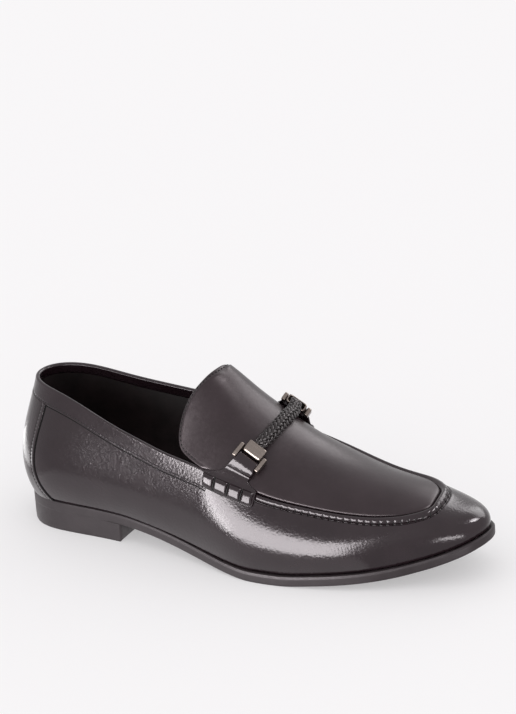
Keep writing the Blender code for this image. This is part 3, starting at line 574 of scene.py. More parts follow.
# ribs of the wall: a cubic from the top edge down to the foot, leaning in above and out below
def ribLines(place, top, fine=161):
    data = steadyCurve(np.asarray(place, float), ribCurves)
    at = np.clip(data[:, 0], 0.0, 1.0) * footCount
    ring = rowsAt(at, np.arange(footCount + 1), footRing)
    foot = np.c_[ring[:, :2], soleTop(ring[:, 0]) + shoe["gap"]]
    out = np.c_[ring[:, 2:], np.zeros(len(ring))]
    up = np.array([0.0, 0.0, 1.0])
    span = np.linalg.norm(top - foot, axis=1)[:, None]
    lean = np.radians(data[:, 1:2])
    tuck = np.radians(data[:, 2:3])
    p1 = foot + span * data[:, 3:4] * (np.cos(lean) * up + np.sin(lean) * out)
    p2 = top - span * data[:, 4:5] * (np.cos(tuck) * up - np.sin(tuck) * out)
    t = np.linspace(0, 1, fine)[:, None, None]
    return (1 - t) ** 3 * top + 3 * (1 - t) ** 2 * t * p2 + 3 * (1 - t) * t * t * p1 + t ** 3 * foot


edgeColumns = (150, 330)  # of a quarter of the collar and of the seam
seamFade = 0.03           # the seam's lip fades out over this share of a quarter
edgeTop, edgePlace = topEdge(*edgeColumns)
edgeLines = ribLines(edgePlace, edgeTop)
edgeRuns = runsOf(edgeLines)
edgeReach = runAlong(edgeTop)
seamStart = np.interp(1.0, edgePlace, edgeReach)
seamEnd = np.interp(3.0, edgePlace, edgeReach)
onSeam = smoothStep((edgePlace - 1.0) / seamFade) * smoothStep((3.0 - edgePlace) / seamFade)


# points of the top edge at places from 0 to 4, joined at the heel
def topAt(place):
    return rowsAt(place, np.r_[edgePlace, 4.0], np.vstack([edgeTop, edgeTop[:1]]))


print("shape of the last worked out")


# wall of vamp and quarters, with the rolled lip of the moccasin seam
vamp = {
    # distance below the seam, lift
    "lipRows": [(0.0, -1.6), (0.2, -0.9), (0.42, -0.05), (0.7, 0.7), (1.05, 1.2), (1.5, 1.48), (2.2, 1.6),
                (2.9, 1.55), (3.5, 1.38), (4.0, 1.1), (4.35, 0.75), (4.62, 0.3), (4.85, -0.25), (5.05, -0.62),
                (5.25, -0.75), (5.45, -0.62), (5.7, -0.25), (6.0, 0.02), (6.4, 0.1), (7.0, 0.0)],
    "plainRows": [8.0, 9.4, 11.2],
    "lowerRows": 28,
    "lipShare": 0.86,        # of those distances, along the sides
    "toeWider": 0.3,         # so much more of them round the toe
    "toeSpan": 0.3,
    "lipFade": (-1.5, 2.5),  # starts so far ahead of the strap's roll, then fades in over this length
    "sewnFade": (6.0, 8.0),
    "stitchPitch": 4.2,
    "stitchMiddle": 4.6,
    "stitchEnds": (3.35, 5.35),
    "stitchRow": 12,         # its normals turn the stitches
    "notch": 0.55,
    "notchMiddle": 4.3,
    "notchHalf": (0.62, 1.15),
    "slant": 0.55,
    "thickness": 1.7,
}
strapAt = {"place": 0.4955, "rollHalf": 17.8, "medialAhead": 3.2}


# wall grid: the ribs cut at set distances below the seam, lifted along the normal by the lip's profile,
# less a slanted gaussian notch at each stitch
def buildVamp():
    spread = vamp["lipShare"] + vamp["toeWider"] * np.exp(-((edgePlace - 2.0) / vamp["toeSpan"]) ** 2)
    near = np.array([row[0] for row in vamp["lipRows"]] + vamp["plainRows"])[:, None] * spread
    rest = np.linspace(0, 1, vamp["lowerRows"] + 1)[1:, None]
    cuts = np.vstack([near, near[-1] + (edgeRuns[-1] - near[-1]) * rest])
    grid = cutLines(edgeLines, edgeRuns, cuts)
    normal = gridNormals(grid, closed=True)
    depth = cuts / spread
    lift = np.interp(depth, *np.array(vamp["lipRows"]).T)
    further = np.where(edgePlace > 2.0, strapAt["medialAhead"], 0.0)
    ahead = edgeTop[:, 0] - strapAt["place"] * shoe["length"] - strapAt["rollHalf"] - further
    shown, sewn = [smoothStep((ahead - start) / long) for start, long in (vamp["lipFade"], vamp["sewnFade"])]
    side = np.where(edgePlace < 2.0, 1.0, -1.0)
    leaning = vamp["slant"] * side * (depth - vamp["stitchMiddle"])
    phase = ((edgeReach - seamStart + leaning) / vamp["stitchPitch"]) % 1.0
    far = np.minimum(phase, 1 - phase) * vamp["stitchPitch"]
    along, down = vamp["notchHalf"]
    hollow = np.exp(-(far / along) ** 2 - ((depth - vamp["notchMiddle"]) / down) ** 2)
    grid = grid + normal * ((lift - sewn * vamp["notch"] * hollow) * onSeam * shown)[..., None]
    rows, cols = grid.shape[:2]
    piece = addPiece("vamp", grid, [(gridFaces(rows, cols, True), 0)], ["polishedLeather", "liningLeather"],
                     ["upper"])
    thicken(piece, vamp["thickness"], 1, 0)
    return grid, normal, sewn * onSeam


vampGrid, vampNormal, vampSewn = buildVamp()
print("vamp", vampGrid.shape)


# plug and tongue
apron = {
    "around": 560,
    "edgeRows": [0.0, 0.12, 0.3, 0.55, 0.85, 1.2, 1.6, 2.05, 2.6, 3.2, 4.0, 5.0, 6.4, 8.2],
    "innerRows": 14,
    "spine": (1.15, 7.1),
    "raySteps": 121,
    "rayPower": 1.3,
    # distance from the seam, lift
    "groove": [(0.0, -1.9), (0.3, -1.35), (0.55, -0.95), (0.85, -0.6), (1.2, -0.33), (1.6, -0.16),
               (2.05, -0.07), (2.6, -0.05), (3.2, 0.0)],
    "freeEdge": 0.85,        # radius of the tongue's edge
    "freeFade": 0.12,
    "channel": (0.12, 2.3, 0.35),    # depth, place and half width of the tongue's stitched line
    "tipDrop": 1.7,
    "tipLong": 6.0,
    "tipRows": (7.0, 0.9),
    "thickness": 1.7,
    "seamRow": 2.05,
}


# rays run from the edge to a spine, so that rows follow the edge; lift is the groove's profile on the
# apron, and a rounded edge, a gaussian channel and a drop of the tip on the tongue
def buildApron():
    half = apronHalf(lastRow)
    tip = np.stack([np.full(closeFine, lastRow), np.linspace(0.0, half, closeFine + 1)[:-1]], -1)
    path = np.vstack([tip, edgeHalf(lastRow, 1)])
    both = [apronPoint(path[:, 0], side * path[:, 1]) for side in (-1, 1)]
    step = sum(np.linalg.norm(np.diff(line, axis=0), axis=1) for line in both) / 2
    run = np.r_[0.0, np.cumsum(step)]
    v, w = rowsAt(np.linspace(0, run[-1], apron["around"] // 2 + 1), run, path).T
    v = np.r_[v, v[-2:0:-1]]
    w = np.r_[-w, w[-2:0:-1]]
    share = np.linspace(0, 1, apron["raySteps"])[:, None] ** apron["rayPower"]
    spine = np.clip(v, *apron["spine"])
    rays = apronPoint(v * (1 - share) + spine * share, w * (1 - share))
    runs = runsOf(rays)
    near = np.array(apron["edgeRows"])
    rest = np.linspace(0, 1, apron["innerRows"] + 1)[1:, None]
    cuts = np.vstack([near[:, None] + 0 * v, near[-1] + (runs[-1] - near[-1]) * rest])
    grid = cutLines(rays, runs, cuts)
    flat = -gridNormals(grid[:-1], closed=True)
    normal = np.concatenate([flat, flat[-1:]])
    free = smoothStep((v - throatRow + apron["freeFade"]) / apron["freeFade"])
    onApron = np.interp(cuts, *np.array(apron["groove"]).T)
    deep, at, wide = apron["channel"]
    start, long = apron["tipRows"]
    droop = smoothStep((v - start) / long) * apron["tipDrop"] * (1 - smoothStep(cuts / apron["tipLong"]))
    onTongue = -roundedDrop(apron["freeEdge"], cuts) - deep * np.exp(-((cuts - at) / wide) ** 2) - droop
    grid = grid + normal * (onApron * (1 - free) + onTongue * free)[..., None]
    rows, cols = grid.shape[:2]
    piece = addPiece("apron", grid, [(gridFaces(rows, cols, True, 0, True), 0)],
                     ["satinLeather", "liningLeather"], welded=True)
    thicken(piece, apron["thickness"], 1, 0)
    return grid, normal, v


apronGrid, apronNormal, apronRow = buildApron()
print("apron", apronGrid.shape)


# collar band: a strip folded over the rim
band = {
    "width": 11.5,
    "proud": 0.42,
    "inside": 2.3,
    "insideThin": (6.5, 7.5, 1.5),    # thins between these depths, to this
    "seamAt": 9.9,
    "past": 0.035,
    "columns": 460,
    "rows": [0.0, 0.4, 0.8, 1.3, 2.0, 3.0, 4.5, 6.0, 7.5, 9.0, 9.6, 9.9,
             10.2, 10.6, 11.0, 11.2, 11.4, 11.5, 11.95],
    # distance from the lower edge, lift: stitched channel, then the turned edge
    "edge": [(-1.9, 0.0), (-1.6, -0.16), (-1.3, 0.0), (-0.5, 0.0), (-0.25, -0.12),
             (0.0, -0.32), (0.45, -0.4)],
    "foldRow": 2,
    "foldSteps": 13,
    "foldTall": 0.8,
    "innerRows": [2, 3, 4, 5, 6, 7, 8],
    # those lines run from 0.45 mm past the edge, flat on the wall, up its step: painted gap shade and the
    # dark cut edge
    "cutLines": 3,           # lines of faces of the dark cut edge
}


# rows down the outside are the wall's skin lifted by the edge's profile, the fold is half an ellipse over the
# rim, and the rows inside are the skin moved in
def buildBand():
    place = np.linspace(3.0 - band["past"], 5.0 + band["past"], band["columns"]) % 4.0
    lines = ribLines(place, topAt(place))
    runs = runsOf(lines)
    depth = np.array(band["rows"])
    skin = cutLines(lines, runs, depth[:, None] + 0 * runs[-1][None, :])
    normal = gridNormals(skin)
    edge = np.array([(-band["width"], 0.0)] + band["edge"])
    outer = np.interp(depth, band["width"] + edge[:, 0], edge[:, 1] + band["proud"])
    body = skin + normal * outer[:, None, None]
    radius = (band["proud"] + band["inside"]) / 2
    start = band["foldRow"]
    centre = skin[start] + normal[start] * (band["proud"] - radius)
    up = unit(skin[0] - skin[start])
    angle = np.linspace(0, math.pi, band["foldSteps"])[1:-1][:, None, None]
    fold = centre + radius * (np.cos(angle) * normal[start] + band["foldTall"] * np.sin(angle) * up)
    innerRows = band["innerRows"]
    thinFrom, thinTo, thin = band["insideThin"]
    off = np.interp(depth[innerRows], [0, thinFrom, thinTo], [band["inside"], band["inside"], thin])
    inner = skin[innerRows] - normal[innerRows] * off[:, None, None]
    grid = np.concatenate([body[:start - 1:-1], fold, inner])
    rows, cols = grid.shape[:2]
    faces = gridFaces(rows, cols, False, 0, True)
    # near-black faces: painted gap shade on the wall below the band's edge, and the cut edge
    cut = np.arange(len(faces)) < band["cutLines"] * (cols - 1)
    addPiece("collarBand", grid, [(faces[~cut], 0), (faces[cut], 1)], ["polishedLeather", "cutEdgeAndGapShade"])
    seam = int(np.argmin(np.abs(depth - band["seamAt"])))
    return body[seam], normal[seam]


bandSeam = buildBand()
print("collar band")


# counter strip round the back of the heel with a folded, stitched edge, wider toward the foot
strip = {
    "half": 28.5,
    "flare": 12.5,
    "from": 11.0,
    "rows": 60,
    "innerColumns": 20,
    "span": 0.6,             # of the last's quarters, each way from the back
    "samples": 180,
    # near-black lines of faces at each edge, from 0.4 mm past it flat on the wall up its step: painted gap
    # shade and the dark cut edge
    "cutLines": 3,
    # distance in from its edge, lift
    "profile": [(-0.4, 0.02), (0.0, 0.08), (0.12, 0.4), (0.35, 0.66), (0.8, 0.78), (1.4, 0.8), (2.0, 0.74),
                (2.6, 0.62), (3.0, 0.5), (3.3, 0.42), (3.6, 0.42), (4.0, 0.5), (4.7, 0.54), (6.0, 0.54)],
    "seamAt": 3.4,
}


# rows down the heel, each cut at distances from its middle: half width less the profile's places
def buildStrip():
    samples = strip["samples"]
    place = np.r_[np.linspace(4.0 - strip["span"], 4.0, samples)[:-1],
                  np.linspace(0.0, strip["span"], samples)]
    lines = ribLines(place, topAt(place))
    runs = runsOf(lines)
    share = np.linspace(0, 1, strip["rows"])[:, None]
    rows = cutLines(lines, runs, strip["from"] + (runs[-1][None, :] - strip["from"]) * share)
    across = rows.transpose(1, 0, 2)
    reach = runsOf(across)
    near = np.array([row[0] for row in strip["profile"]])
    half = strip["half"] + strip["flare"] * share[:, 0]
    inner = (half - near[-1]) * np.linspace(1, 0, strip["innerColumns"])[1:, None]
    lateral = np.vstack([half - near[:, None], inner])
    out = np.vstack([-lateral, lateral[-2::-1]])
    grid = cutLines(across, reach, reach[samples - 1] + out)
    normal = -gridNormals(grid)
    lift = np.interp(half - np.abs(out), *np.array(strip["profile"]).T)
    shown = grid + normal * lift[..., None]
    count, cols = grid.shape[:2]
    faces = gridFaces(count, cols, False, 0, True)
    line = np.arange(len(faces)) // (cols - 1)
    # near-black faces at both edges: painted gap shade on the wall past them, and the cut edge
    cut = np.minimum(line, count - 2 - line) < strip["cutLines"]
    addPiece("heelStrip", shown, [(faces[~cut], 0), (faces[cut], 1)], ["polishedLeather", "cutEdgeAndGapShade"])
    seam = int(np.argmin(np.abs(near - strip["seamAt"])))
    return [(shown[k], normal[k]) for k in (seam, count - 1 - seam)]


stripSeams = buildStrip()
print("heel strip")


# a slab between two grids of the same size: both faces and the four borders, closed
def slabFaces(rows, cols):
    size = rows * cols
    index = np.arange(size).reshape(rows, cols)
    border = np.r_[index[0, :-1], index[:-1, -1], index[-1, :0:-1], index[:0:-1, 0]]
    ahead = np.roll(border, -1)
    rim = np.stack([border, ahead, ahead + size, border + size], -1)
    return np.vstack([gridFaces(rows, cols), gridFaces(rows, cols, False, size, True), rim])


skinAway = np.linspace(-16.0, 44.0, 241)
skinRow = np.linspace(3.6, 6.0, 97)
skinFine = 241            # points drawn down the wall and over the apron
skinOver = 1.9            # how far over the apron, in half widths


# skin of the upper across the moccasin seam: rows by v, columns by distance from it, the wall side negative
def seamSkin(side):
    edge = side * apronHalf(skinRow)
    top = apronPoint(skinRow, edge)
    half = edgeHalf(throatRow, side)
    reach = runAlong(apronPoint(half[:, 0], half[:, 1]))
    share = np.interp(-skinRow, -half[:seamFine, 0], reach[:seamFine]) / reach[-1]
    place = 1.0 + share if side < 0 else 3.0 - share
    wall = ribLines(place, top, skinFine)
    part = np.linspace(0.0, 1.0, skinFine)[:, None]
    over = apronPoint(skinRow[None, :] + 0 * part, edge * (1 - skinOver * part))
    line = np.concatenate([wall[:0:-1], over])
    runs = runsOf(line)
    runs = runs - runs[skinFine - 1]
    grid = cutLines(line, runs, skinAway[:, None] + 0 * skinRow[None, :]).transpose(1, 0, 2)
    return grid, unit(np.cross(np.gradient(grid, axis=0), np.gradient(grid, axis=1)) * side)


# point on that skin at row v and distance d, lifted off it by o: bilinear between the grid's points
def onSkin(skin, v, d, o):
    grid, facing = skin
    v, d, o = (np.asarray(q, float) for q in np.broadcast_arrays(v, d, o))
    i = np.clip((v - skinRow[0]) / (skinRow[1] - skinRow[0]), 0, len(skinRow) - 1.001)
    j = np.clip((d - skinAway[0]) / (skinAway[1] - skinAway[0]), 0, len(skinAway) - 1.001)
    low = i.astype(int)
    near = j.astype(int)
    a = (i - low)[..., None]
    b = (j - near)[..., None]
    corners = ((0, 0, (1 - a) * (1 - b)), (1, 0, a * (1 - b)), (0, 1, (1 - a) * b), (1, 1, a * b))
    point = sum(grid[low + di, near + dj] * share for di, dj, share in corners)
    normal = sum(facing[low + di, near + dj] * share for di, dj, share in corners)
    return point + normal * o[..., None]


# saddle straps: -1 is the lateral side, 1 the medial
strap = {
    "thick": 1.6,
    "hookThick": 1.0,
    "clear": 0.5,
    "sweep": 0.27,
    "rampLong": {-1: 8.2, 1: 14.0},
    "rampPower": {-1: 2.6, 1: 1.2},
    "rampFirst": 2.6,                   # never starts nearer the seam than this
    "tabHalf": 6.9,
    "tabFrom": 2.4,                     # has its own width from so far before the bar
    # distance from the seam, half width
    "waist": {
        -1: [(2.2, 12.9), (4.6, 9.1), (8.0, 8.1), (11.0, 7.6)],
        1: [(2.2, 16.0), (4.6, 13.4), (8.0, 10.0)],
    },
    "barReach": 15.0,
    "medialShort": 1.0,
    "barRadius": 1.3,
    "barLift": {-1: 3.7, 1: 4.7},
    "hookTurn": (105, -12),             # degrees round the bar
    "hookTail": (2.2, 1.4),
    "rollDepth": 9.5,
    "flange": 1.1,
    "flangeFade": (5.5, 5.0),
    "puff": 3.1,
    "cellMiddle": 4.6,
    "cellHalf": 4.2,
    "cellPower": 2.8,
    "cellLean": 0.24,                   # the puff is so much lower at its foot
    "cellSide": 2.0,
    "cellGap": 0.2,
    "endGap": 0.7,
    "corner": 3.0,
    "edgeRound": 0.7,
    "edgeSlim": 0.75,
    "ties": (-0.485, 0.065, 0.56),
    "tieSpan": (-8.7, -0.5),
    "tieClear": 0.35,
    "tieArch": 0.9,
    "columns": 221,
    "endColumns": 7,
    "endShare": 0.97,
}
skins = {side: seamSkin(side) for side in (-1, 1)}


# distance of the bar from the seam, a little less on the inner side
def barReach(side):
    return strap["barReach"] - (strap["medialShort"] if side > 0 else 0.0)


# row of the skin at the strap's middle, and rows to a millimetre
def strapRow(side):
    seamX = skins[side][0][:, np.argmin(np.abs(skinAway)), 0]
    middle = strapAt["place"] * shoe["length"] + (strapAt["medialAhead"] if side > 0 else 0.0)
    return float(np.interp(-middle, -seamX, skinRow)), (skinRow[-1] - skinRow[0]) / (seamX[0] - seamX[-1])


# middle of the bar, then axes toward the toe, up the instep and off the upper
def barFrame(side):
    skin = skins[side]
    row, pace = strapRow(side)
    reach = barReach(side)
    away = np.array([reach, reach + 4.0, reach - 3.0])
    lean = strap["sweep"] * (reach + (away - reach) * 0.5) * pace
    here, above, below = onSkin(skin, row - lean, away, 0.0)
    off = onSkin(skin, row - strap["sweep"] * reach * pace, reach, 1.0) - here
    up = unit(above - below)
    off -= up * np.dot(off, up)
    off = unit(off)
    toe = np.cross(up, off)
    toe *= np.sign(toe[0])
    return here + off * strap["barLift"][side], np.stack([toe, up, off])


bars = {side: barFrame(side) for side in (-1, 1)}


# one face of the strap as a line of distance and height: flat, then a ramp
# 1 - (1 - t)^power, then round the bar
def strapLine(flat, start, side, height, radius):
    reach = barReach(side)
    lift = strap["barLift"][side]
    turn = np.radians(np.linspace(*strap["hookTurn"], 11))
    rise = np.linspace(0.0, 1.0, 21)[1:-1]
    ramp = 1 - (1 - rise) ** strap["rampPower"][side]
    hookX = reach + radius * math.cos(turn[0])
    hookZ = lift + radius * math.sin(turn[0])
    return np.vstack([np.c_[flat, 0 * flat + height],
                      np.c_[start + (hookX - start) * rise, height + (hookZ - height) * ramp],
                      np.c_[reach + radius * np.cos(turn), lift + radius * np.sin(turn)],
                      [(reach + radius, z) for z in strap["hookTail"]]])


# places across the strap from -1 to 1, closer at both ends
def strapAcross():
    at = strap["endShare"]
    n = strap["endColumns"]
    return np.r_[np.linspace(-1, -at, n)[:-1], np.linspace(-at, at, strap["columns"]),
                 np.linspace(at, 1, n)[1:]]


# puff of the roll: across, a quarter circle up from each tie; along, (1 - |x|^power)^0.5, lower at the foot
def rollPuff(b, away):
    rollHalf = strapAt["rollHalf"]
    ends = np.r_[-1.0, strap["ties"], 1.0]
    k = np.clip(np.searchsorted(ends, b, side="right") - 1, 0, len(ends) - 2)
    cell = ends[k + 1] - ends[k]
    inCell = np.minimum(b - ends[k], ends[k + 1] - b) * rollHalf
    outerEnd = (k == 0) & (b - ends[0] < ends[1] - b) | (k == len(ends) - 2) & (ends[-1] - b < b - ends[-2])
    margin = np.where(outerEnd, strap["endGap"], strap["cellGap"])
    climb = np.clip((inCell - margin) / np.minimum(strap["cellSide"], cell * rollHalf / 2 - 0.3), 0.0, 1.0)
    swell = np.sqrt(1 - (1 - climb) ** 2.0)
    down = np.clip((away + strap["cellMiddle"]) / strap["cellHalf"], -1.0, 1.0)
    lean = strap["cellLean"]
    hill = np.sqrt(1 - np.abs(down) ** strap["cellPower"]) * (1 - lean + lean * down)
    return hill * swell[None, :] * strap["puff"] * smoothStep((0.9 - away) / 1.2)


# saddle strap: a slab between an under and an upper face, laid on the skin and bent over to the bar's frame
def buildStrap(name, side):
    row, pace = strapRow(side)
    reach = barReach(side)
    inner = strap["barRadius"] + shoe["gap"]
    low = strap["clear"]
    depth = strap["rollDepth"]
    rollHalf = strapAt["rollHalf"]
    start = max(reach - strap["rampLong"][side], strap["rampFirst"])
    flat = np.r_[np.linspace(-depth, 1.0 - depth, 7), np.linspace(1.3 - depth, 0.6, 32),
                 np.linspace(1.2, start, 6)]
    under = strapLine(flat, start, side, low, inner)
    over = strapLine(flat, start, side, low + strap["thick"], inner + strap["hookThick"])
    b = strapAcross()
    wide = steadyCurve(under[:, 0], [(-20.0, rollHalf), (0.2, rollHalf), *strap["waist"][side],
                                     (reach - strap["tabFrom"], strap["tabHalf"]), (40.0, strap["tabHalf"])])
    r = strap["corner"]
    wide = wide - r + np.sqrt(r * r - np.clip(r - under[:, 0] - depth, 0.0, r * 0.98) ** 2)
    away = under[:, 0][:, None]
    onFlat = under[:, 1][:, None] < low + 0.1
    fadeFrom, fadeLong = strap["flangeFade"]
    base = (strap["flange"] - strap["thick"]) * smoothStep((fadeFrom - away) / fadeLong)
    edge = (1 - np.abs(b))[None, :] * wide[:, None]
    drop = roundedDrop(strap["edgeRound"], edge) + roundedDrop(strap["edgeRound"], away + depth)
    raised = rollPuff(b, away) * onFlat + base - np.minimum(drop, strap["edgeSlim"])
    origin, axes = bars[side]
    share = smoothStep((under[:, 0] - 4.0) / (reach - 8.0))[:, None, None]
    made = []
    for path, extra in ((over, raised), (under, 0 * raised)):
        d = path[:, 0][:, None]
        h = path[:, 1][:, None] + extra
        v = row - (b[None, :] * wide[:, None] + strap["sweep"] * np.maximum(d, 0.0)) * pace
        grid = onSkin(skins[side], v, d + 0 * v, h)
        local = np.stack([b[None, :] * wide[:, None] + 0 * h,
                          d - reach + 0 * h, h - strap["barLift"][side]], -1)
        made.append(grid * (1 - share) + (origin + local @ axes) * share)
    rows, cols = made[0].shape[:2]
    faces = slabFaces(rows, cols)
    faces = faces if side > 0 else faces[:, ::-1]
    addPiece(name, np.concatenate(made), [(faces, 0)], ["polishedLeather"], [name])
    d = np.linspace(*strap["tieSpan"], 9)[None, :]
    v = row - (np.array(strap["ties"])[:, None] * rollHalf + 0 * d) * pace
    arch = strap["tieArch"] * np.sin((d - d[0, 0]) / (d[0, -1] - d[0, 0]) * math.pi)
    return onSkin(skins[side], v, d, strap["flange"] + strap["clear"] + strap["tieClear"] + arch)


rollTies = [buildStrap(name, side) for side, name in ((-1, "strap_lateral"), (1, "strap_medial"))]
print("saddle straps")


# metal clamp: block with a socket, two end plates, an arm and the bar
clamp = {
    "plateApart": 16.6,
    "plate": (2.7, 9.6, 5.2),
    "plateMiddle": 2.3,
    "plateOff": 0.4,
    # from either end of the plate: place, narrower by, lower by
    "plateEnd": [(0.0, 0.5, 0.6), (0.08, 0.3, 0.35), (0.3, 0.08, 0.12), (0.6, 0.0, 0.0)],
    "plateSwell": 0.04,
    "blockHalf": (6.3, 2.6),
    "blockFrom": 3.5,
    "blockLong": 7.8,
    "blockOff": 0.6,
    # along the block: place, narrower by, lower by
    "blockRows": [(0.0, 1.8, 1.7), (0.08, 1.1, 1.15), (0.3, 0.6, 0.75), (0.7, 0.25, 0.42), (1.2, 0.05, 0.18),
                  (1.9, 0.0, 0.06), (2.15, 0.0, 0.13), (2.6, 0.0, 0.05), (3.7, 0.0, 0.0), (4.7, 0.0, 0.04),
                  (5.05, 0.0, 0.12), (5.5, 0.0, 0.05), (6.4, 0.0, 0.0), (7.3, 0.0, 0.06), (7.65, 0.06, 0.12),
                  (7.8, 0.25, 0.28)],
    "socket": 0.8,
    "armHalf": (1.2, 1.1),
    "armAt": (1.5, 0.1),     # ahead of the block's start, off the bar
    "around": 56,
}


# rounded rectangle of the given half sizes and corner power: |x|^p + |y|^p = 1
def roundedRing(halfA, halfB, power, count):
    turn = np.linspace(0, 2 * math.pi, count, endpoint=False)
    c = np.cos(turn)
    s = np.sin(turn)
    grow = (np.abs(c) ** power + np.abs(s) ** power) ** (-1 / power)
    return np.stack([halfA * grow * c, halfB * grow * s], -1)


# sections (place, half a, half b) along an axis; the first and last close to a point
def carried(sections, power, count):
    ring = roundedRing(1.0, 1.0, power, count)
    table = np.array(sections, float)
    grid = np.concatenate([ring[None] * table[:, None, 1:3], 0 * ring[None, :, :1] + table[:, None, :1]], -1)
    ends = grid[[0, -1]].copy()
    ends[..., :2] = 0.0
    return np.concatenate([ends[:1], grid, ends[1:]])


# each shape is sections along an axis of the bar's frame: order says which axes they lie on, then its middle
def buildClamp(name, side):
    origin, axes = bars[side]
    n = clamp["around"]
    start = clamp["blockFrom"]
    wide, tall = clamp["blockHalf"]
    hole = clamp["socket"]
    front = clamp["blockRows"] + [(7.8, hole, hole - 0.1), (7.65, hole + 0.1, hole), (6.4, hole + 0.1, hole)]
    block = [(start + along, wide - narrower, tall - lower) for along, narrower, lower in front]
    a, long, b = [size / 2 for size in clamp["plate"]]
    rim = [(at - long, a - narrower, b - lower) for at, narrower, lower in clamp["plateEnd"]]
    plate = rim + [(0.0, a, b + clamp["plateSwell"])] + [(-at, p, q) for at, p, q in rim[::-1]]
    arm = clamp["plateApart"] / 2
    armAhead, armOff = clamp["armAt"]
    r = strap["barRadius"]
    shapes = [(carried(block, 7.0, n), (0, 2, 1), (0.0, 0.0, clamp["blockOff"]))]
    shapes += [(carried(plate, 5.0, n), (0, 2, 1), (end * arm, clamp["plateMiddle"], clamp["plateOff"]))
               for end in (-1, 1)]
    shapes.append((carried([(at,) + clamp["armHalf"] for at in (-arm, arm)], 5.0, n), (1, 2, 0),
                   (0.0, start + armAhead, armOff)))
    shapes.append((carried([(-arm, r, r), (arm, r, r)], 2.0, n), (1, 2, 0), (0.0, 0.0, 0.0)))
    points = []
    faces = []
    first = 0
    for grid, order, centre in shapes:
        local = np.zeros_like(grid)
        local[..., list(order)] = grid
        rows, cols = grid.shape[:2]
        turned = np.linalg.det(axes) * (1 if order == (1, 2, 0) else -1) < 0
        points.append((local + centre).reshape(-1, 3) @ axes + origin)
        faces.append(gridFaces(rows, cols, True, first, turned))
        first += rows * cols
    addPiece(name, np.vstack(points), [(np.vstack(faces), 0)], ["darkNickel"], [name],
             welded=True)


for side, name in ((-1, "fitting_lateral"), (1, "fitting_medial")):
    buildClamp(name, side)
print("clamps")


# cord plaited over two, under two
braid = {
    "half": (4.45, 3.15),     # across and off the apron
    "pinch": (0.9, 0.56),     # the same two, as shares, where it enters the clamps
    "pinchLong": (6.0, 11.0),
    "pinchFrom": 1.5,
    "sink": 1.2,              # into the clamps
    "straight": (2.2, 3.7),   # runs straight out of them at these lengths
    "lift": 4.7,
    "strands": 8,             # in each direction
    "turnLength": 26.0,
    "strandHalf": (1.1, 0.6),
    "rise": 0.7,
    "steps": 260,
    "sides": 10,
    "coreInside": 0.5,
    "coreSides": 24,
}


# middle line from clamp to clamp, its direction, up and across; up turns from one clamp's through the
# apron's to the other's
def braidPath(count):
    blockEnd = clamp["blockFrom"] + clamp["blockLong"]
    ends = []
    rows = []
    for side in (-1, 1):
        origin, axes = bars[side]
        row, pace = strapRow(side)
        ends.append(origin + axes[1] * (blockEnd - braid["sink"]) + axes[2] * clamp["blockOff"])
        rows.append(row - strap["sweep"] * (barReach(side) + blockEnd) * pace)
    w = np.linspace(-0.3, 0.3, 5)
    v = np.interp(w, [-1.0, 1.0], rows)
    base = apronPoint(v, w)
    ahead = apronPoint(v - 0.05, w) - apronPoint(v + 0.05, w)
    off = unit(np.cross(ahead, apronPoint(v, w + 0.01) - apronPoint(v, w - 0.01)))
    near, far = braid["straight"]
    latAxes, medAxes = bars[-1][1], bars[1][1]
    path = evenSpline(np.vstack([ends[0], ends[0] + latAxes[1] * near, ends[0] + latAxes[1] * far,
                                 base + off * braid["lift"],
                                 ends[1] + medAxes[1] * far, ends[1] + medAxes[1] * near, ends[1]]), count)
    run = unit(np.gradient(path, axis=0))
    up = rowsAt(np.linspace(0, 1, len(path)), [0, 0.5, 1], np.stack([latAxes[2], off[2], medAxes[2]]))
    up = unit(up - run * np.sum(up * run, axis=1)[:, None])
    return path, run, up, np.cross(run, up)


# the faces of one grid, repeated for a number of grids of the same size
def repeated(faces, count, size):
    return (faces[None] + (np.arange(count) * size)[:, None, None]).reshape(-1, 4)


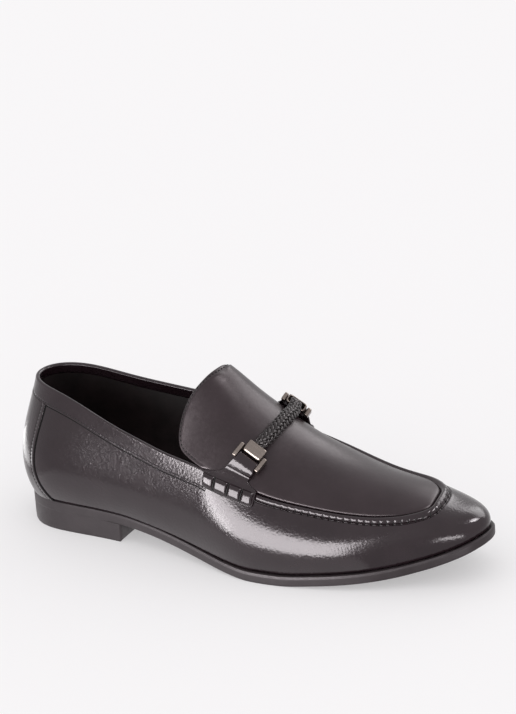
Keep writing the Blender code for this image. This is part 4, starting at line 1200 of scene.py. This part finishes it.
# strands wind both ways round an oval, and a cosine of the crossings passed lifts them over or under
def buildBraid():
    path, run, up, wide = braidPath(braid["steps"])
    reach = runAlong(path)[None, :]
    n = braid["strands"]
    number = np.arange(n)[:, None]
    crossing = 2 * n * reach / braid["turnLength"]
    turn = np.concatenate([2 * math.pi * (number / n + reach / braid["turnLength"]),
                           2 * math.pi * (number / n - reach / braid["turnLength"])])
    over = np.cos(math.pi / 2 * (crossing + 2 * number - 0.5))
    under = -np.cos(math.pi / 2 * (2 * number - crossing - 0.5))
    wave = np.concatenate([over, under])
    start = braid["pinchFrom"]
    nearEnd, farEnd = braid["pinchLong"]
    free = smoothStep(np.minimum((reach - start) / nearEnd, (reach[0, -1] - reach - start) / farEnd))
    w, t = braid["strandHalf"]
    a, b = [(half * (pinch + (1 - pinch) * free) - t - braid["rise"])[..., None]
            for half, pinch in zip(braid["half"], braid["pinch"])]
    sine = np.sin(turn)[..., None]
    cosine = np.cos(turn)[..., None]
    face = unit(up[None] * cosine / b + wide[None] * sine / a)
    line = path[None] + up[None] * b * cosine + wide[None] * a * sine
    line = line + face * (braid["rise"] * wave)[..., None]
    across = np.cross(face, unit(np.gradient(line, axis=1)))
    ring = np.linspace(0, 2 * math.pi, braid["sides"], endpoint=False)
    grid = (line[:, :, None] + across[:, :, None] * (w * np.cos(ring))[None, None, :, None]
            + face[:, :, None] * (t * np.sin(ring))[None, None, :, None])
    count, rows, cols = grid.shape[:3]
    faces = repeated(gridFaces(rows, cols, True, 0, True), count, rows * cols)
    addPiece("braid", grid, [(faces, 0)], ["braidLeather"], ["braid"])
    ring = np.linspace(0, 2 * math.pi, braid["coreSides"], endpoint=False)[None, :, None]
    a = a[0][:, None] - braid["coreInside"]
    b = b[0][:, None] - braid["coreInside"]
    core = path[:, None] + up[:, None] * b * np.cos(ring) + wide[:, None] * a * np.sin(ring)
    addPiece("braidCore", core, [(gridFaces(core.shape[0], core.shape[1], True, 0, True), 0)], ["thread"])


buildBraid()
print("braid")


# outsole: an edge carried round the outline, filled across above and below
sole = {
    "around": 1800,
    "across": 24,
    # inset from the outline, height over the underside
    "rows": [(2.6, 0.0), (1.0, 0.0), (0.45, 0.1), (0.15, 0.35), (0.02, 0.8), (0.0, 1.5), (0.02, 3.2),
             (0.0, 4.6), (0.03, 5.0), (0.18, 5.3), (0.45, 5.6), (0.55, 5.95), (0.7, 6.25),
             (1.0, 6.4), (2.4, 6.4), (4.4, 6.4)],
    "overHeel": {2: (0.03, 0.0), 3: (0.0, 0.03)},    # rows whose rounding the heel block takes away
    "heelFade": (12.0, 8.0),                         # from so far behind the breast, over this length
    "bevelRows": range(6, 13),                       # narrower round the heel, as the ledge is
    "bevelFade": ((0.2, 0.4), (0.15, 1.0)),
    "tickRound": 720.0,                              # way round the sole
    "tickPitch": 1.25,
    "tick": 0.055,
    "tickBand": (5.7, 0.35),
}


# grid over a loop: each row joins a point on one side to its partner on the other
def crossGrid(loop, across, height):
    n = len(loop)
    i = np.arange(n // 2 + 1)
    t = np.linspace(0.0, 1.0, across + 1)[None, :, None]
    flat = loop[i][:, None, :] * (1 - t) + loop[(n - i) % n][:, None, :] * t
    return np.concatenate([flat, height(flat[..., 0])[..., None]], -1)


# each ring is the outline moved in by its inset, less a cosine of fine ticks near the top
def buildSole():
    rings = []
    n = sole["around"]
    phase = np.arange(n) * 2 * math.pi * round(sole["tickRound"] / sole["tickPitch"]) / n
    plain = soleLoop(n)
    out = outward(plain)
    bevel = np.interp(plain[:, 0] / shoe["length"], *sole["bevelFade"])
    fadeFrom, fadeLong = sole["heelFade"]
    ahead = smoothStep((plain[:, 0] - shoe["heelBreast"] + fadeFrom) / fadeLong)
    tickAt, tickWide = sole["tickBand"]
    for k, (inset, rise) in enumerate(sole["rows"]):
        wheel = np.exp(-((rise - tickAt) / tickWide) ** 2) * sole["tick"] * np.cos(phase) * bevel
        if k in sole["bevelRows"]:
            inset = inset * bevel
        if k in sole["overHeel"]:
            heelInset, heelRise = sole["overHeel"][k]
            inset = inset * ahead + heelInset * (1 - ahead)
            rise = rise * ahead + heelRise * (1 - ahead)
        loop = plain + out * (wheel - inset)[:, None]
        rings.append(np.c_[loop, underside(loop[:, 0]) + rise])
    ring = np.stack(rings)
    bottom = crossGrid(rings[0][:, :2], sole["across"], underside)
    top = crossGrid(rings[-1][:, :2], sole["across"], soleTop)
    rows, cols = bottom.shape[:2]
    size = n * len(rings)
    faces = gridFaces(len(rings), n, True, 0, True)
    caps = gridFaces(rows, cols, False, size, True)
    lid = gridFaces(rows, cols, False, size + rows * cols)
    points = np.vstack([ring.reshape(-1, 3), bottom.reshape(-1, 3), top.reshape(-1, 3)])
    addPiece("outsole", points, [(faces, 0), (caps, 1), (lid, 0)], ["soleEdge", "soleGround"],
             ["outsole"], welded=True)


# heel block: drawn from the sole down to the ground
heel = {
    "around": 600,
    "across": 16,
    "rows": 70,
    "round": 0.45,
    # rounding of the ground edge: inset and height in roundings, then height added
    "foot": [(2.2, 0.0, 0.0), (1.0, 0.0, 0.08), (0.35, 0.35, 0.0), (0.05, 1.0, 0.1)],
    "footTop": 0.6,
    "levels": (0.15, 0.4, 0.7, 0.92),    # shares of the way up to the sole
    "joint": (0.05, -0.03),              # below the underside of the sole
}


# the sole's outline back of the breast, which slants across by share^3 and is hollowed by t(1 - t)
def heelGrid(inset, height):
    keep = crossGrid(soleLoop(heel["around"], inset), heel["across"], lambda x: 0 * x)
    half = len(keep) // 2
    share = np.linspace(0.0, 1.0, heel["rows"]) ** 0.85
    at = share * np.interp(shoe["heelBreast"] - inset, keep[:half, 0, 0], np.arange(half))
    low = np.floor(at).astype(int)
    part = (at - low)[:, None, None]
    grid = keep[low] * (1 - part) + keep[low + 1] * part
    t = np.linspace(0.0, 1.0, heel["across"] + 1)[None, :]
    slant = share[:, None] ** 3
    grid[..., 0] += slant * shoe["breastSlant"] * t - slant * shoe["breastHollow"] * t * (1 - t)
    edge = np.interp(grid[:, -1, 0], keep[:half, -1, 0], keep[:half, -1, 1])
    grid[..., 1] += (edge - grid[:, -1, 1])[:, None] * t
    grid[..., 2] = height(grid[..., 0])
    return grid


# walls from the rounded foot up to the underside, closed by a grid below and one above
def buildHeel():
    r = heel["round"]
    levels = [heelGrid(inset * r, lambda x, z=up * r + more: 0 * x + z) for inset, up, more in heel["foot"]]
    levels += [heelGrid(0.0, lambda x, s=s: underside(x) * s + heel["footTop"] * (1 - s))
               for s in heel["levels"]]
    levels += [heelGrid(0.0, lambda x, s=s: underside(x) - s) for s in heel["joint"]]
    rows, cols = levels[0].shape[:2]
    index = np.arange(rows * cols).reshape(rows, cols)
    border = np.r_[index[:, 0], index[-1, 1:], index[-2::-1, -1], index[0, -2:0:-1]]
    ring = np.stack([grid.reshape(-1, 3)[border] for grid in levels])
    size = ring.shape[0] * ring.shape[1]
    points = np.vstack([ring.reshape(-1, 3), levels[0].reshape(-1, 3), levels[-1].reshape(-1, 3)])
    addPiece("heel", points, [(gridFaces(ring.shape[0], ring.shape[1], True, 0, True), 0),
                              (gridFaces(rows, cols, False, size, True), 1),
                              (gridFaces(rows, cols, False, size + rows * cols), 0)],
             ["soleEdge", "soleGround"], ["heel"], welded=True)


# sock lining
sock = {
    "around": 480,
    "across": 28,
    "inset": 2.7,
    "thick": 2.4,
    "swell": 0.35,
    "level": 0.4,        # share of the swell taken off all over
    "heelFade": 40.0,
}


# the sole's outline inside the wall; its top swells by |t|^3 toward the rim
def buildInsole():
    # grid over the sole's top, raised
    def layer(rise, swell):
        grid = crossGrid(soleLoop(sock["around"], sock["inset"], 1.0), sock["across"], soleTop)
        t = np.linspace(-1.0, 1.0, grid.shape[1])[None, :]
        fade = smoothStep(grid[..., 0] / sock["heelFade"])
        grid[..., 2] += shoe["gap"] + rise + swell * (np.abs(t) ** 3 - sock["level"]) * fade
        return grid
    under = layer(0.0, 0.0)
    over = layer(sock["thick"], sock["swell"])
    rows, cols = over.shape[:2]
    addPiece("insole", np.concatenate([over, under]), [(slabFaces(rows, cols), 0)], ["liningLeather"],
             ["insole"], welded=True)


buildSole()
buildHeel()
buildInsole()
print("sole, heel and sock lining")


stitches = {
    "sides": 6,
    "rings": 7,
    "seam": (0.42, 0.1),                        # radius, bulge
    "seamLeast": 0.4,                           # sewn where the seam shows at least so much
    "tongue": (2.6, 0.62, 0.36, 0.16, 0.05),    # pitch, share of it filled, radius, bulge, sink
    "collar": (2.2, 0.6, 0.27, 0.1, 0.02),
    "strip": (2.3, 0.6, 0.28, 0.1, 0.02),
    "tie": 0.45,
    "tiePast": 0.2,
}


# stitches of one seam as one piece: each is a short arc from a to b, thick in its middle, round in section
def addStitches(name, a, b, normal, radius, bulge):
    t = np.linspace(0.0, 1.0, stitches["rings"])[None, :, None]
    middle = a[:, None] * (1 - t) + b[:, None] * t + normal[:, None] * (bulge * np.sin(math.pi * t))
    side = np.cross(normal, unit(b - a))
    thick = radius * np.sqrt(np.clip(1 - (2 * t - 1) ** 4, 0.02, 1.0))[..., None]
    turn = np.linspace(0, 2 * math.pi, stitches["sides"], endpoint=False)[None, None, :, None]
    ring = side[:, None, None] * np.cos(turn) + normal[:, None, None] * np.sin(turn)
    grid = middle[:, :, None] + ring * thick
    count, rows, cols = grid.shape[:3]
    ends = np.array([[0, 1, 2, 3], [0, 3, 4, 5]])
    one = np.vstack([gridFaces(rows, cols, True, 0, True), ends, (ends + (rows - 1) * cols)[:, ::-1]])
    addPiece(name, grid, [(repeated(one, count, rows * cols), 0)], ["thread"])


# even stitches along a line: cut by length into pitches, each stitch fills a share of its pitch
def runningStitches(name, line, normal, pitch, share, radius, bulge, sink):
    run = runAlong(line)
    at = np.arange(pitch, run[-1] - pitch, pitch)
    first, last = [rowsAt(at + q, run, line) for q in (-pitch * share / 2, pitch * share / 2)]
    facing = unit(rowsAt(at, run, normal))
    addStitches(name, first - facing * sink, last - facing * sink, facing, radius, bulge)


# slanted stitches over the outer groove of the moccasin band
def seamStitches():
    count = int((seamEnd - seamStart) / vamp["stitchPitch"])
    at = seamStart + vamp["stitchPitch"] * np.arange(count)
    side = np.where(at < (seamStart + seamEnd) / 2, 1.0, -1.0)
    depth = np.array([row[0] for row in vamp["lipRows"]])
    ends = []
    for level in vamp["stitchEnds"]:
        row = int(np.argmin(np.abs(depth - level)))
        shift = vamp["slant"] * side * (depth[row] - vamp["stitchMiddle"])
        ends.append(rowsAt(at - shift, edgeReach, vampGrid[row]))
    facing = rowsAt(at, edgeReach, vampNormal[vamp["stitchRow"]])
    keep = np.interp(at, edgeReach, vampSewn) > stitches["seamLeast"]
    addStitches("seamStitches", ends[0][keep], ends[1][keep], facing[keep], *stitches["seam"])


# edge of the tongue: the apron's ring of points at the seam's distance, where the edge is free
def tongueStitches():
    row = apron["edgeRows"].index(apron["seamRow"])
    free = apronRow > throatRow + 0.1
    start = int(np.argmin(free))
    turned = np.r_[np.arange(start, len(free)), np.arange(start)]
    keep = turned[free[turned]]
    runningStitches("tongueStitches", apronGrid[row, keep], apronNormal[row, keep], *stitches["tongue"])


# every seam, then the threads that tie the rolls down
def sewAll():
    seamStitches()
    tongueStitches()
    runningStitches("collarStitches", *bandSeam, *stitches["collar"])
    for label, (line, normal) in zip(("Medial", "Lateral"), stripSeams):
        runningStitches("heelStripStitches" + label, line, normal, *stitches["strip"])
    for label, ties in zip(("Lateral", "Medial"), rollTies):
        first = ties[:, :-1].reshape(-1, 3)
        second = ties[:, 1:].reshape(-1, 3)
        run = second - first
        facing = unit(np.cross(run, np.roll(run, 1, 1)))
        past = run * stitches["tiePast"]
        addStitches("rollTies" + label, first - past, second + past, facing, stitches["tie"], 0.0)


sewAll()
print("stitches")


# pale studio: floor, even white light, and panels that only the gloss of the leather sees
studio = {
    "ambient": 1.02,
    "worldTone": (1.0, 0.995, 1.0),
    "floorHalf": 12.0,    # metres
    "floorTone": (0.925, 0.912, 0.92),
    "floorGlow": 0.42,    # share of the floor's light that is its own, which keeps the shadows faint
    # name: middle in shoe millimetres, turn and rise of the side that faces away, width, height, brightness
    "panels": {
        "frontPanel": ((109.0, -225.0, 64.0), 0.0, 0.0, 250.0, 124.0, 3.6),
        "frontEdge": ((-4.0, -226.0, 56.0), 0.0, 0.0, 30.0, 94.0, 3.4),
        "backPanel": ((560.0, 1190.0, 900.0), 158.0, 36.0, 1100.0, 700.0, 1.0),
        "frontFloor": ((95.0, -72.0, 0.6), 0.0, -90.0, 290.0, 115.0, 0.16),
        "toeTopLamp": ((570.0, 95.0, 440.0), 109.0, 54.0, 200.0, 90.0, 6.5),
        "toeSideGlow": ((330.0, -76.0, 0.5), 40.0, -90.0, 46.0, 34.0, 2.8),
        "heelGlow": ((-130.0, 20.0, 0.5), 90.0, -90.0, 130.0, 90.0, 0.6),
    },
}


# a panel's power is four times its brightness times its area times pi; matt surfaces and the camera don't
# see the panels
def buildStudio():
    size = studio["floorHalf"]
    mesh = bpy.data.meshes.new("floor")
    corners = [(-size, -size, 0), (size, -size, 0), (size, size, 0), (-size, size, 0)]
    mesh.from_pydata(corners, [], [(0, 1, 2, 3)])
    floor = linked("floor", mesh)
    paint = bpy.data.materials.new("floorPaint")
    paint.use_nodes = True
    own = 1.0 - studio["floorGlow"]
    looks = {
        "Base Color": tuple(own * tone for tone in studio["floorTone"]) + (1.0,),
        "Emission Color": studio["floorTone"] + (1.0,),
        "Emission Strength": studio["floorGlow"] * studio["ambient"],
        "Roughness": 1.0,
        "Specular IOR Level": 0.0,
    }
    for socket, value in looks.items():
        paint.node_tree.nodes["Principled BSDF"].inputs[socket].default_value = value
    mesh.materials.append(paint)
    world = bpy.data.worlds.new("studio")
    world.use_nodes = True
    sky = world.node_tree.nodes["Background"]
    sky.inputs["Color"].default_value = studio["worldTone"] + (1.0,)
    sky.inputs["Strength"].default_value = studio["ambient"]
    bpy.context.scene.world = world
    for name, (middle, turn, rise, width, height, bright) in studio["panels"].items():
        away, side = directionOf(turn, rise)
        data = bpy.data.lights.new(name, "AREA")
        data.shape = "RECTANGLE"
        data.size = width * mm
        data.size_y = height * mm
        data.energy = 4 * bright * data.size * data.size_y * math.pi
        lamp = linked(name, data)
        turnTo(lamp, side, np.cross(away, side), away, middle)
        lamp.visible_diffuse = False
        lamp.visible_camera = False
    bpy.context.scene.view_settings.view_transform = "Standard"


buildStudio()
print("studio lit")
